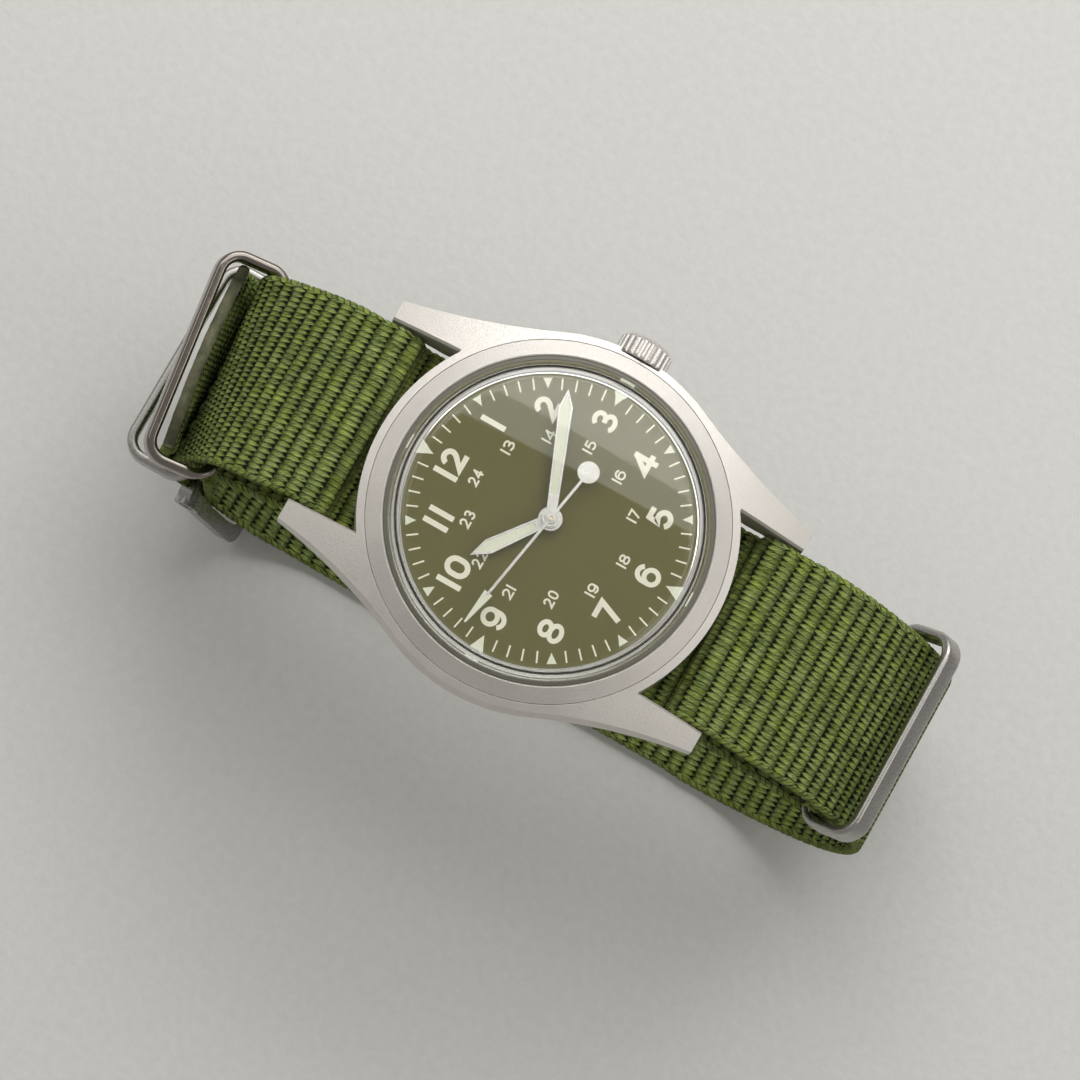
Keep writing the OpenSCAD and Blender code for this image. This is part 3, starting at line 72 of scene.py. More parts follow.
# dial print, in mm: width of the strokes and height above the dial
HOUR_STROKE, ROUND_STROKE, SMALL_STROKE, SMALL_GAP = 0.56, 0.5, 0.2, 0.16
MINUTE_IN, MINUTE_OUT, MINUTE_W = 13.02, 14.3, 0.17
PRINT_T, PRINT_STEP, PRINT_STEPS = 0.022, 0.0004, 9

# camera and lamps, in metres and degrees
CAM_TILT = 9.0
CAM_AT = Vector((-0.00216, -0.00014, 0.046))
CAM_UP = Vector((0.872, 0.489, 0.0))
CAM_DISTANCE, CAM_LENS, CAM_SENSOR = 0.4, 135.45, 36.0
CAM_NEAR, CAM_FAR = 0.02, 20.0
LAMPS_LOOK_AT = Vector((0, 0, 0.04))
# place, size, the radiance that a mirror would show, colour
LAMPS = {
    "key": ((0.315, 0.03, 0.385), (0.53, 0.56), 1.2, (1.0, 0.998, 0.985)),
    "strip": ((0.318, 0.05, 0.386), (0.105, 0.42), 3.6, (1.0, 0.998, 0.985)),
    "edge": ((0.148, 0.03, 0.484), (0.050, 0.50), 1.4, (1.0, 0.985, 0.96)),
    "low": ((0.03, -0.36, 0.40), (0.34, 0.16), 1.6, (1.0, 0.97, 0.93)),
    "high": ((0.03, 0.40, 0.42), (0.34, 0.16), 1.3, (1.0, 0.97, 0.93)),
}

# floor, in metres, and world
FLOOR_R, FLOOR_SIDES, FLOOR_Z = 0.8, 64, -0.00002
WORLD_COLOUR, WORLD_LIGHT, WORLD_SEEN = (1.0, 0.988, 0.95, 1.0), 0.32, 0.54


def sind(a):
    return math.sin(math.radians(a))


def cosd(a):
    return math.cos(math.radians(a))


# camera and lamps
def set_camera():
    data = bpy.data.cameras.new("camera")
    data.lens = CAM_LENS
    data.sensor_width = CAM_SENSOR
    data.clip_start, data.clip_end = CAM_NEAR, CAM_FAR
    cam = bpy.data.objects.new("camera", data)
    bpy.context.scene.collection.objects.link(cam)
    back = Vector((-sind(CAM_TILT), 0.0, cosd(CAM_TILT)))
    up = (CAM_UP - CAM_UP.dot(back) * back).normalized()
    right = up.cross(back)
    turn = Matrix((right, up, back)).transposed().to_4x4()
    cam.matrix_world = Matrix.Translation(CAM_AT + back * CAM_DISTANCE) @ turn
    bpy.context.scene.camera = cam


def lamp(name, where, size, radiance, colour):
    """Flat soft lamp that looks at the watch"""
    data = bpy.data.lights.new(name, "AREA")
    data.shape = "RECTANGLE"
    data.size, data.size_y = size
    data.energy = math.pi * size[0] * size[1] * radiance
    data.color = colour
    o = bpy.data.objects.new(name, data)
    o.visible_camera = False
    bpy.context.scene.collection.objects.link(o)
    o.location = where
    z = (Vector(where) - LAMPS_LOOK_AT).normalized()
    x = Vector((0, 1, 0)).cross(z).normalized()
    o.rotation_euler = Matrix((x, z.cross(x), z)).transposed().to_euler()


set_camera()
for lamp_name, values in LAMPS.items():
    lamp(lamp_name, *values)
bpy.context.scene.view_settings.view_transform = "Standard"


# node helpers
class Nodes:
    """Short forms for the nodes of one tree. A value is a number, a colour or a socket."""

    def __init__(self, tree):
        self.tree = tree

    def put(self, socket, value):
        if isinstance(value, bpy.types.NodeSocket):
            self.tree.links.new(value, socket)
        else:
            socket.default_value = value

    def add(self, kind, ins=None, **props):
        n = self.tree.nodes.new("ShaderNode" + kind)
        for k, v in props.items():
            setattr(n, k, v)
        for k, v in (ins or {}).items():
            self.put(n.inputs[k], v)
        return n

    def maths(self, op, *values, clamp=False):
        n = self.add("Math", operation=op, use_clamp=clamp)
        for i, v in enumerate(values):
            self.put(n.inputs[i], v)
        return n.outputs[0]

    def plus(self, a, b):
        return self.maths("ADD", a, b)

    def minus(self, a, b, clamp=False):
        return self.maths("SUBTRACT", a, b, clamp=clamp)

    def times(self, a, b):
        return self.maths("MULTIPLY", a, b)

    def over(self, a, b):
        return self.maths("DIVIDE", a, b)

    def power(self, a, b):
        return self.maths("POWER", a, b)

    def most(self, a, b):
        return self.maths("MAXIMUM", a, b)

    def positive(self, a):
        return self.maths("ABSOLUTE", a)

    def floor(self, a):
        return self.maths("FLOOR", a)

    def mixc(self, f, a, b, blend="MIX"):
        n = self.add("Mix", data_type="RGBA", blend_type=blend)
        for i, v in ((0, f), (6, a), (7, b)):
            self.put(n.inputs[i], v)
        return n.outputs[2]

    def place(self):
        return self.add("TexCoord").outputs["Object"]

    def noise(self, vector, scale, detail=2.0, rough=0.5):
        ins = {"Vector": vector, "Scale": scale, "Detail": detail, "Roughness": rough}
        return self.add("TexNoise", ins).outputs[0]

    def chance(self, vector, dimensions):
        return self.add("TexWhiteNoise", {"Vector": vector}, noise_dimensions=dimensions).outputs[0]

    def ranged(self, v, a, b, c, d):
        """Value from c to d while v goes from a to b, and no further"""
        return self.add("MapRange", {0: v, 1: a, 2: b, 3: c, 4: d}).outputs[0]

    def scaled(self, vector, by):
        return self.add("Mapping", {"Vector": vector, "Scale": by}).outputs[0]

    def bumped(self, height, strength, distance, **ins):
        values = {"Height": height, "Strength": strength, "Distance": distance, **ins}
        return self.add("Bump", values).outputs[0]

    def bevelled(self, radius, samples):
        return self.add("Bevel", {"Radius": radius}, samples=samples).outputs[0]


def rgb(r, g, b):
    """sRGB 0-255 to the linear colour that a shader takes"""
    def lin(c):
        c /= 255
        return c / 12.92 if c < 0.04045 else ((c + 0.055) / 1.055) ** 2.4
    return (lin(r), lin(g), lin(b), 1.0)


def material(name):
    m = bpy.data.materials.new(name)
    m.use_nodes = True
    return m, Nodes(m.node_tree), m.node_tree.nodes["Principled BSDF"]


# kinds of material; bevel and bump are in mm
def metal(name, colour, rough, grain=0.05, bevel=0.1, bump=0.02, size=5000.0, streak=None):
    """Metal with a fine grain, softened edges, and slightly uneven tone"""
    m, n, b = material(name)
    at = n.place()
    lines = n.scaled(at, streak) if streak else at
    fine = n.noise(lines, size, 3.0, 0.6)
    broad = n.noise(at, 260.0, 3.0)
    tone = n.ranged(broad, 0.3, 0.7, 0.94, 1.0)
    grey = n.add("CombineColor", {0: tone, 1: tone, 2: tone}).outputs[0]
    n.put(b.inputs["Base Color"], n.mixc(1.0, colour, grey, "MULTIPLY"))
    b.inputs["Metallic"].default_value = 1.0
    n.put(b.inputs["Roughness"], n.plus(n.ranged(fine, 0.25, 0.75, rough - grain, rough + grain),
                                        n.ranged(broad, 0.3, 0.7, -0.02, 0.02)))
    n.put(b.inputs["Normal"], n.bumped(fine, 1.0, bump * MM, Normal=n.bevelled(bevel * MM, 6)))
    return m


def matt(name, colour, rough, other=None, bump=0.03, size=3000.0, bevel=0.05, spec=0.5):
    """Paint, plastic, rubber and lume: a fine grain in colour, gloss and height"""
    m, n, b = material(name)
    at = n.place()
    fine = n.noise(at, size, 3.0, 0.6)
    broad = n.noise(at, 180.0, 3.0)
    other = other or tuple(c * 0.88 for c in colour[:3]) + (1.0,)
    share = n.plus(n.times(fine, 0.6), n.times(broad, 0.4))
    n.put(b.inputs["Base Color"], n.mixc(n.ranged(share, 0.3, 0.7, 0.0, 1.0), colour, other))
    n.put(b.inputs["Roughness"], n.ranged(fine, 0.2, 0.8, rough - 0.06, rough + 0.06))
    b.inputs["Specular IOR Level"].default_value = spec
    n.put(b.inputs["Normal"], n.bumped(fine, 1.0, bump * MM, Normal=n.bevelled(bevel * MM, 4)))
    return m


def glass(name, tint, ior):
    """Clear glass that lets the lamps' light through to the dial"""
    m, n, b = material(name)
    smear = n.noise(n.place(), 120.0, 3.0)
    n.put(b.inputs["Base Color"], n.mixc(smear, tint, (1.0, 1.0, 1.0, 1.0)))
    n.put(b.inputs["Roughness"], n.ranged(smear, 0.3, 0.8, 0.0, 0.015))
    b.inputs["IOR"].default_value = ior
    b.inputs["Transmission Weight"].default_value = 1.0
    clear = n.add("BsdfTransparent", {"Color": tint}).outputs[0]
    ray = n.add("LightPath").outputs["Is Shadow Ray"]
    mix = n.add("MixShader", {0: ray, 1: b.outputs[0], 2: clear}).outputs[0]
    n.put(m.node_tree.nodes["Material Output"].inputs["Surface"], mix)
    return m


# webbing
def strand(n, u, row, along, inward):
    """Height and number of the strand over a rib; it narrows inward and dips at both ends"""
    place = n.plus(u, n.times(n.maths("FLOORED_MODULO", row, 2.0), 0.5))
    number = n.floor(place)
    luck = n.chance(n.add("CombineXYZ", {0: number, 1: row}).outputs[0], "2D")
    along = n.plus(along, n.times(n.minus(luck, 0.5), 0.14))
    tip = n.positive(n.over(along, 0.54))
    taper = n.power(n.ranged(n.times(along, inward), -0.52, 0.05, 1.0, 0.0), 1.7)
    narrow = n.most(n.minus(1.0, n.times(taper, 0.8)), 0.1)
    off = n.times(n.minus(n.minus(place, number), 0.5), 2.0)
    side = n.power(n.positive(n.over(off, narrow)), 2.2)
    across_it = n.maths("SQRT", n.minus(1.0, side, clamp=True))
    return n.times(across_it, n.minus(1.0, n.power(tip, 5.0), clamp=True)), number


def upper_strand(n, u, v, inward):
    """Height, number and rib of the strand on top, and the place along the rib from -0.5 to 0.5"""
    row = n.floor(v)
    along = n.minus(n.minus(v, row), 0.5)
    side = n.maths("SIGN", along)
    own, own_number = strand(n, u, row, along, inward)
    other, other_number = strand(n, u, n.plus(row, side), n.minus(along, side), inward)
    is_own = n.maths("GREATER_THAN", own, other)
    is_other = n.minus(1.0, is_own)
    number = n.plus(n.times(own_number, is_own), n.times(other_number, is_other))
    return n.most(own, other), number, n.plus(row, n.times(side, is_other)), along


def braid(n, x, v):
    """Height and number of the strands that turn over the edge, two to a rib"""
    slant = n.plus(n.times(v, 2.0), n.times(n.minus(x, SELVEDGE_X + 0.5), -0.9))
    number = n.floor(slant)
    along = n.positive(n.times(n.minus(n.minus(slant, number), 0.5), 2.0))
    off = n.positive(n.over(n.minus(x, SELVEDGE_X + 0.62), 0.7))
    height = n.maths("SQRT", n.times(n.minus(1.0, n.power(along, 2.2), clamp=True),
                                     n.minus(1.0, n.power(off, 3.0), clamp=True)))
    return height, number


def strand_colour(n, at, u, v, key, light, dark):
    """Colour of the strands, uneven from one to the next, and their fibres"""
    luck = n.chance(key, "3D")
    twist = n.times(n.plus(u, n.times(v, 0.7)), 6.5)
    fibre = n.noise(n.add("CombineXYZ", {0: twist, 1: n.times(v, 2.2)}).outputs[0], 1.0, 2.0, 0.6)
    patch = n.noise(at, 240.0, 3.0)
    tone = n.plus(n.times(luck, 0.3), n.plus(n.times(fibre, 2.4), n.times(patch, 0.4)))
    colour = n.mixc(n.ranged(tone, 1.05, 2.05, 0.0, 1.0), dark, light)
    tint = n.ranged(n.noise(at, 520.0, 4.0, 0.7), 0.42, 0.66, 0.0, 1.0)
    return n.mixc(tint, colour, n.mixc(1.0, colour, (1.05, 1.03, 0.6, 1.0), "MULTIPLY")), fibre


def webbing(name, light, dark, shade_colour):
    """Ribbed webbing, with painted shade in its grooves and gaps. UV u counts strands across the band and v
    counts ribs along it.
    """
    m, n, b = material(name)
    uv = n.add("SeparateXYZ", {0: n.add("UVMap", uv_map="weave").outputs[0]}).outputs
    at = n.place()
    v = n.plus(uv[1], n.times(n.minus(n.noise(at, 700.0, 2.0), 0.5), 0.24))
    u = n.plus(uv[0], n.times(n.minus(n.noise(at, 420.0, 2.0), 0.5), 0.5))
    # the narrow ends of the strands face the case on both sides of it
    inward = n.ranged(n.add("SeparateXYZ", {0: at}).outputs[1], -0.004, 0.004, -1.0, 1.0)
    top, number, rib, along = upper_strand(n, u, v, inward)
    x = n.positive(n.times(uv[0], STRAND_W))
    edge, edge_number = braid(n, x, v)
    rim = n.ranged(x, SELVEDGE_X - 0.04, SELVEDGE_X + 0.04, 0.0, 1.0)
    middle = n.minus(1.0, rim)
    h = n.plus(n.times(top, middle), n.times(edge, rim))
    key = n.add("CombineXYZ", {0: number, 1: rib, 2: n.times(n.plus(edge_number, 7.0), rim)}).outputs[0]
    body, fibre = strand_colour(n, at, u, v, key, light, dark)
    # painted shade: the gaps between strands are dark at their narrow ends and dim elsewhere
    lie = n.times(along, inward)
    painted_gap_light = n.times(n.ranged(lie, -0.36, 0.0, 0.0, 1.0), middle)
    painted_light = n.most(n.ranged(h, 0.15, 0.6, 0.0, 1.0), n.times(painted_gap_light, 0.68))
    # painted shade: a strand is darker towards both its ends
    painted_end_shade = n.times(n.ranged(lie, 0.12, 0.5, 1.0, 0.34), n.ranged(lie, -0.5, -0.25, 0.5, 1.0))
    painted_light = n.times(painted_light, n.plus(n.times(painted_end_shade, middle), rim))
    # the shade colour fills in where the painted light is low: painted shade in the grooves and gaps
    n.put(b.inputs["Base Color"], n.mixc(painted_light, shade_colour, body))
    n.put(b.inputs["Roughness"], n.ranged(fibre, 0.2, 0.8, 0.62, 0.85))
    b.inputs["Specular IOR Level"].default_value = 0.12
    b.inputs["Sheen Weight"].default_value = 0.02
    b.inputs["Sheen Roughness"].default_value = 0.5
    n.put(b.inputs["Normal"], n.bumped(n.plus(h, n.times(fibre, 0.6)), 1.0, WEAVE_H * MM))
    return m


# materials
satin = metal("satin_steel", (0.745, 0.712, 0.672, 1), 0.52, grain=0.13, bevel=0.06, bump=0.026, size=4400)
polished = metal("polished_steel", (0.66, 0.65, 0.635, 1), 0.2, grain=0.04, bevel=0.14, bump=0.003, size=2600)
hand_metal = metal("hand_steel", (0.56, 0.55, 0.52, 1), 0.24, grain=0.04, bevel=0.03, bump=0.002, size=6000)
# keeper and buckle steels: base colours darkened, a painted reflection of dark surroundings
keeper_shaded_satin = metal("keeper_steel", (0.45, 0.433, 0.416, 1), 0.28, grain=0.07, bevel=0.05, bump=0.003,
                     size=4600)
keeper_shaded_polish = metal("keeper_polished", (0.27, 0.24, 0.215, 1), 0.14, grain=0.04, bevel=0.05, bump=0.003,
                      size=2600)
crown_metal = metal("crown_steel", (0.74, 0.71, 0.68, 1), 0.27, grain=0.05, bevel=0.1, bump=0.003, size=4000)
plate_metal = metal("plate_brass", (0.66, 0.60, 0.47, 1), 0.34, grain=0.05, bevel=0.05, bump=0.004, size=3000)
bridge_metal = metal("bridge_steel", (0.63, 0.62, 0.60, 1), 0.3, grain=0.06, bevel=0.05, bump=0.005,
                     size=1800, streak=(1.0, 0.06, 1.0))
gilt = metal("gilt_brass", (0.72, 0.54, 0.24, 1), 0.26, grain=0.05, bevel=0.03, bump=0.003, size=5000)
steel_part = metal("wheel_steel", (0.60, 0.60, 0.60, 1), 0.22, grain=0.05, bevel=0.03, bump=0.002, size=5000)
blued = metal("blued_steel", (0.05, 0.09, 0.27, 1), 0.2, grain=0.05, bevel=0.02, bump=0.002, size=6000)
tube_metal = metal("turned_steel", (0.58, 0.57, 0.56, 1), 0.28, grain=0.06, bevel=0.03, bump=0.004,
                   size=3000, streak=(1.0, 0.1, 0.1))
paint = matt("dial_paint", rgb(93, 89, 30), 0.62, other=rgb(88, 84, 27), bump=0.004, size=9000, bevel=0.02,
             spec=0.25)
lume = matt("lume", rgb(231, 233, 212), 0.6, other=rgb(223, 225, 202), bump=0.012, size=7000, bevel=0.02)
print_white = matt("print", rgb(240, 238, 218), 0.6, other=rgb(230, 228, 206), bump=0.008, size=8000,
                   bevel=0.02)
rubber = matt("rubber", rgb(38, 38, 39), 0.6, bump=0.02, size=2500)
holder = matt("holder_plastic", rgb(214, 212, 204), 0.45, bump=0.01, size=2500)
gasket = matt("clear_gasket", rgb(116, 114, 101), 0.3, bump=0.005, size=2500, spec=0.6)
thread = matt("thread", rgb(92, 110, 52), 0.7, other=rgb(60, 76, 30), bump=0.05, size=2600)
ruby = matt("ruby", (0.45, 0.02, 0.09, 1), 0.12, bump=0.002, size=2500, spec=0.8)
crystal_glass = glass("crystal", (0.985, 0.99, 0.985, 1), 1.49)
# the third colour is the painted shade of the grooves and of the gaps between strands
weave = webbing("webbing", rgb(172, 188, 114), rgb(60, 80, 33), rgb(15, 24, 6))
raw_end = matt("raw_end", rgb(128, 126, 98), 0.85, other=rgb(30, 36, 16), bump=0.2, size=620)

DRESS = {
    satin: ["case_middle", "bezel", "case_back"],
    polished: ["keeper_12", "keeper_6", "keeper_buckle", "buckle_bar"],
    keeper_shaded_satin: ["buckle_frame", "buckle_tongue"],
    crown_metal: ["crown"],
    hand_metal: ["hour_hand", "minute_hand", "seconds_hand", "dial_ring"],
    lume: ["hour_markers", "hour_hand_lume", "minute_hand_lume", "seconds_hand_lume"],
    paint: ["dial"],
    gasket: ["crystal_gasket"],
    rubber: ["crown_gasket", "back_gasket"],
    holder: ["movement_holder"],
    plate_metal: ["main_plate"],
    bridge_metal: ["barrel_bridge", "train_bridge", "balance_cock", "pallet_bridge"],
    gilt: ["barrel", "centre_wheel", "third_wheel", "fourth_wheel", "hour_wheel", "minute_wheel",
           "balance_wheel"],
    steel_part: ["barrel_arbor", "ratchet_wheel", "crown_wheel", "click", "cannon_pinion", "escape_wheel",
                 "pallet_fork", "winding_stem", "winding_pinion", "sliding_clutch", "mainspring"],
    blued: ["hairspring", "movement_screws"],
    ruby: ["jewels"],
    tube_metal: ["crown_tube", "spring_bar_12", "spring_bar_6", "spring_bar_tip_12_right",
                 "spring_bar_tip_12_left", "spring_bar_tip_6_right", "spring_bar_tip_6_left"],
    crystal_glass: ["crystal"],
}
for mat, nodes in DRESS.items():
    for node in nodes:
        for material_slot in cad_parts[node].material_slots:
            material_slot.link = "OBJECT"
            material_slot.material = mat


# mesh helpers
def piece(name, verts, faces, body, mats, replaces=(), uv=None, index=None, smooth=True,
          sharp=None):
    """New object from points in mm. uv is one (u, v) for each face corner."""
    me = bpy.data.meshes.new(name)
    verts = np.asarray(verts, float) * MM
    me.from_pydata([tuple(p) for p in verts], [], [tuple(int(i) for i in f) for f in faces])
    for m in mats:
        me.materials.append(m)
    if index is not None:
        me.polygons.foreach_set("material_index", np.asarray(index, np.int32))
    me.polygons.foreach_set("use_smooth", np.full(len(me.polygons), smooth))
    if uv is not None:
        layer = me.uv_layers.new(name="weave")
        layer.data.foreach_set("uv", np.asarray(uv, np.float32).ravel())
    me.update()
    if sharp:
        me.set_sharp_from_angle(angle=math.radians(sharp))
    o = bpy.data.objects.new(name, me)
    bpy.context.scene.collection.objects.link(o)
    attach(o, body)
    if replaces:
        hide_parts(*replaces)
    return o


def grid_faces(rows, cols, closed_rows=False, closed_cols=False):
    """Quads of a grid of points, which may close on itself in either way"""
    r = np.arange(rows if closed_rows else rows - 1)
    c = np.arange(cols if closed_cols else cols - 1)
    i, j = np.meshgrid(r, c, indexing="ij")
    i2, j2 = (i + 1) % rows, (j + 1) % cols
    return np.stack([i * cols + j, i * cols + j2, i2 * cols + j2, i2 * cols + j], -1).reshape(-1, 4)


def join(parts):
    """One list of points and one of faces from several"""
    verts, faces, base = [], [], 0
    for v, f in parts:
        verts.append(np.asarray(v, float))
        faces += [tuple(i + base for i in q) for q in f]
        base += len(v)
    return np.concatenate(verts), faces


def corner(cx, cy, r, first, steps):
    """Quarter round about (cx, cy) as points and outward normals, from angle first on"""
    angles = [first + 90 * i / steps for i in range(steps + 1)]
    return [((cx + r * cosd(a), cy + r * sind(a)), (cosd(a), sind(a))) for a in angles]


# the strap's routes, as in the part's source: guides (y, z, r) in mm with the dial at zero
# room that the strap has round a spring bar, at the keepers and inside its own folds
BAR_PLAY, KEEPER_PLAY, KEEPER_6_PLAY, FOLD_PLAY, SHORT_PLAY = 0.1, 0.35, 0.2, 0.04, 0.3
# buckle: the bar lies BAR_INSET inside the strap, the front FRONT_GAP and FRONT_LIFT radii outside it
BAR_INSET, FRONT_GAP, FRONT_LIFT = 0.8, 0.2, 1.4
# ends of the layers: how far out or up they lie from the keeper beside them
TAIL_OUT, TAIL_UP, FOLD_UP, SHORT_UP, SHORT_TURN_UP, SHORT_PASS = 1.8, 2, 3.3, 4, 5.5, 3.2
TURN_R, SHORT_TURN_R, SHORT_BEND_R, SHORT_12_Y, SHORT_6_Y = 1.3, 1.2, 3, 12, -17.5
SHOULDER_SLACK = 1.01
BAR_WRAP = BAR_D / 2 + BAR_PLAY + HALF_T
LONG_Z = Z_LOW - BAR_PLAY - HALF_T
SHORT_Z = LONG_Z - STRAP_T - LAYER_GAP


def shoulder_z(y, r):
    return -BAR_DROP - math.sqrt(((r - BAR_WRAP - HALF_T) * SHOULDER_SLACK) ** 2 - (BAR_Y - y) ** 2)


def around(c, r, a):
    return c + r * np.array([sind(a), -cosd(a)])


def angle_between(a, b, opposite):
    """Angle in degrees between two sides of a triangle, from its three sides"""
    return math.degrees(math.acos((a * a + b * b - opposite ** 2) / (2 * a * b)))


S12 = np.array([SHOULDER_12_Y, shoulder_z(SHOULDER_12_Y, SHOULDER_12_R)])
S6 = np.array([-SHOULDER_6_Y, shoulder_z(SHOULDER_6_Y, SHOULDER_6_R)])
L12 = np.array([SHOULDER_12_Y + SHOULDER_12_R - LOWER_12_R, -DIAL_H + LOWER_12_R])
L6 = np.array([-SHOULDER_6_Y - SHOULDER_6_R + LOWER_6_R, -DIAL_H + LOWER_6_R])
BAR_LOOP = BUCKLE_BAR_D / 2 + FIT + HALF_T
PIN_C = around(L12, LOWER_12_R - HALF_T - BAR_INSET, BUCKLE_AT)
PIN_OUT = float(np.linalg.norm(PIN_C - L12))
FRONT_R = BUCKLE_T / 2
FRONT_OUT = LOWER_12_R + FRONT_GAP + FRONT_LIFT * FRONT_R
FRONT_C = around(L12, FRONT_OUT, BUCKLE_AT - angle_between(PIN_OUT, FRONT_OUT, BUCKLE_LEN))

# keepers: middle of the inner bar, and the way its opening looks
BAR_OFF = KEEPER_T / 2 + KEEPER_ROOM
K12_N = np.array([sind(KEEPER_12_AT), cosd(KEEPER_12_AT)])
K12_C = S12 + (SHOULDER_12_R - STRAP_T - BAR_OFF - KEEPER_PLAY) * K12_N
K6_N = np.array([-sind(KEEPER_6_AT - KEEPER_6_LEAN), cosd(KEEPER_6_AT - KEEPER_6_LEAN)])
K6_S = np.array([K6_N[1], -K6_N[0]])
K6_WRAP = math.hypot(KEEPER_T, KEEPER_T) / 2 + KEEPER_6_PLAY + HALF_T
K6_END = (KEEPER_W - KEEPER_T) / 2
K6_IN = K6_WRAP + HALF_T + KEEPER_PLAY + K6_END * sind(KEEPER_6_LEAN)
K6_C = S6 + (SHOULDER_6_R - STRAP_T - K6_IN) * np.array([-sind(KEEPER_6_AT), cosd(KEEPER_6_AT)])
KB_Z = L12[1] + 1
KB_C = np.array([S12[0] + SHOULDER_12_R - STRAP_T - BAR_OFF, KB_Z])
KEEPER_WRAP = math.hypot(KEEPER_T, KEEPER_W) / 2 + BAR_PLAY + HALF_T
OUTER_Y = S12[0] + SHOULDER_12_R
INNER_Y = OUTER_Y - STRAP_T

LONG_ROUTE = [
    (SHOULDER_12_Y + SHOULDER_12_R + TAIL_OUT, K12_C[1] + TAIL_UP, 0),
    (*L12, LOWER_12_R + LAYER_GAP + HALF_T),
    (*PIN_C, BAR_LOOP + STRAP_T + LAYER_GAP),
    (*L12, LOWER_12_R - HALF_T),
    (*L6, LOWER_6_R - HALF_T),
    (*S6, SHOULDER_6_R - HALF_T),
    (-BAR_Y, -BAR_DROP, BAR_WRAP),
    (-BAR_Y + BAR_WRAP + TURN_R, LONG_Z + TURN_R, -TURN_R),
    (BAR_Y - BAR_WRAP - TURN_R, LONG_Z + TURN_R, -TURN_R),
    (BAR_Y, -BAR_DROP, BAR_WRAP),
    (*S12, SHOULDER_12_R - HALF_T),
    (*L12, LOWER_12_R - HALF_T),
    (*PIN_C, BAR_LOOP),
    (*KB_C, KEEPER_WRAP),
    (INNER_Y - FOLD_PLAY - HALF_T, KB_Z + FOLD_UP, 0),
]
SHORT_ROUTE = [
    (INNER_Y - SHORT_PLAY - HALF_T, KB_Z + SHORT_UP, 0),
    (INNER_Y - SHORT_PLAY - STRAP_T - SHORT_TURN_R, KB_Z + SHORT_TURN_UP, -SHORT_TURN_R - HALF_T),
    (SHORT_12_Y, SHORT_Z - SHORT_BEND_R, -SHORT_BEND_R),
    (SHORT_6_Y, SHORT_Z - SHORT_BEND_R, -SHORT_BEND_R),
    (*(K6_C - K6_END * K6_S), K6_WRAP),
    (*(K6_C + SHORT_PASS * K6_S + K6_WRAP * K6_N), 0),
]


def way(a, b):
    """Angle of the normal where the strap runs straight from guide a to guide b"""
    d = math.hypot(b[0] - a[0], b[1] - a[1])
    return math.degrees(math.atan2(b[1] - a[1], b[0] - a[0])) + math.degrees(math.acos((a[2] - b[2]) / d))


def on_guide(guide, angle):
    return np.array([guide[0] + guide[2] * cosd(angle), guide[1] + guide[2] * sind(angle)])


def route_legs(route):
    """Legs of a route in turn: a line has its ends and angle, an arc its guide, first angle and sweep"""
    legs = []
    angle = way(route[0], route[1])
    last = on_guide(route[0], angle)
    for before, guide, after in zip(route, route[1:], route[2:]):
        a, b = way(before, guide), way(guide, after)
        sweep = (a - b) % 360 if guide[2] > 0 else -((b - a) % 360)
        start = on_guide(guide, a)
        legs.append(("line", float(np.linalg.norm(start - last)), (last, start, angle)))
        legs.append(("arc", abs(guide[2] * math.radians(sweep)), (guide, a, sweep)))
        angle = a - sweep
        last = on_guide(guide, angle)
    end = on_guide(route[-1], way(route[-2], route[-1]))
    legs.append(("line", float(np.linalg.norm(end - last)), (last, end, angle)))
    return legs


def run(route, step):
    """Points (y, z, angle of the normal, length so far) along a route, step mm apart"""
    legs = route_legs(route)
    total = sum(length for kind, length, leg in legs)
    n = max(8, round(total / step))
    out, k, gone = [], 0, 0.0
    for i in range(n + 1):
        s = total * i / n
        while k < len(legs) - 1 and s > gone + legs[k][1] + 1e-9:
            gone += legs[k][1]
            k += 1
        kind, length, leg = legs[k]
        f = 0.0 if length < 1e-9 else (s - gone) / length
        if kind == "line":
            start, end, angle = leg
            p = start * (1 - f) + end * f
        else:
            guide, first, sweep = leg
            angle = first - sweep * f
            p = on_guide(guide, angle)
        out.append((p[0], p[1], angle, s))
    return np.array(out), total


# woven layers of the strap: how fine their mesh is
ROWS_PER_RIB, COLUMNS = 8, 28
SELVEDGE_ANGLES = (22, 45, 67, 90, 113, 135, 158)
# twist: it begins at SKEW_Y and takes SKEW_EASE_Y, and reaches SKEW_EASE_Z up and down from the keeper
SKEW_Y, SKEW_EASE_Y, SKEW_EASE_Z = 24, 10, 9
# width: the lugs hold the strap over LUG_REACH, and from WIDER_Y on it gets wider
LUG_REACH, LUG_LOW, WIDER, WIDER_Y, WIDER_EASE = 3.2, -12, 0.2, 23, 4
WOBBLE, WOBBLE_ROWS, KEEPER_FREE = 0.05, 30, 0.27
# ends: ribs fade over END_REACH, and the tail's end is frayed over FRAY_REACH
END_REACH, FRAY, FRAYS, FRAY_REACH = 0.9, 0.14, 35, 9.0
# room between the woven surface and the solid, and powers that shape beads and grooves
SKIN, BEAD_POWER, GROOVE_POWER = 0.01, 1.3, 2.6


def ease(x):
    c = np.clip(x, 0, 1)
    return c * c * (3 - 2 * c)


def smooth_noise(n, spacing, seed):
    r = np.random.default_rng(seed)
    k = max(4, int(n / spacing) + 3)
    return np.interp(np.arange(n), np.linspace(0, n, k), r.uniform(-1, 1, k))


def skew_at(y, z):
    """Twist of the strap where the skewed keeper holds it, in degrees"""
    return KEEPER_SKEW * ease((y - SKEW_Y) / SKEW_EASE_Y) * ease(1 - np.abs(z - K12_C[1]) / SKEW_EASE_Z)


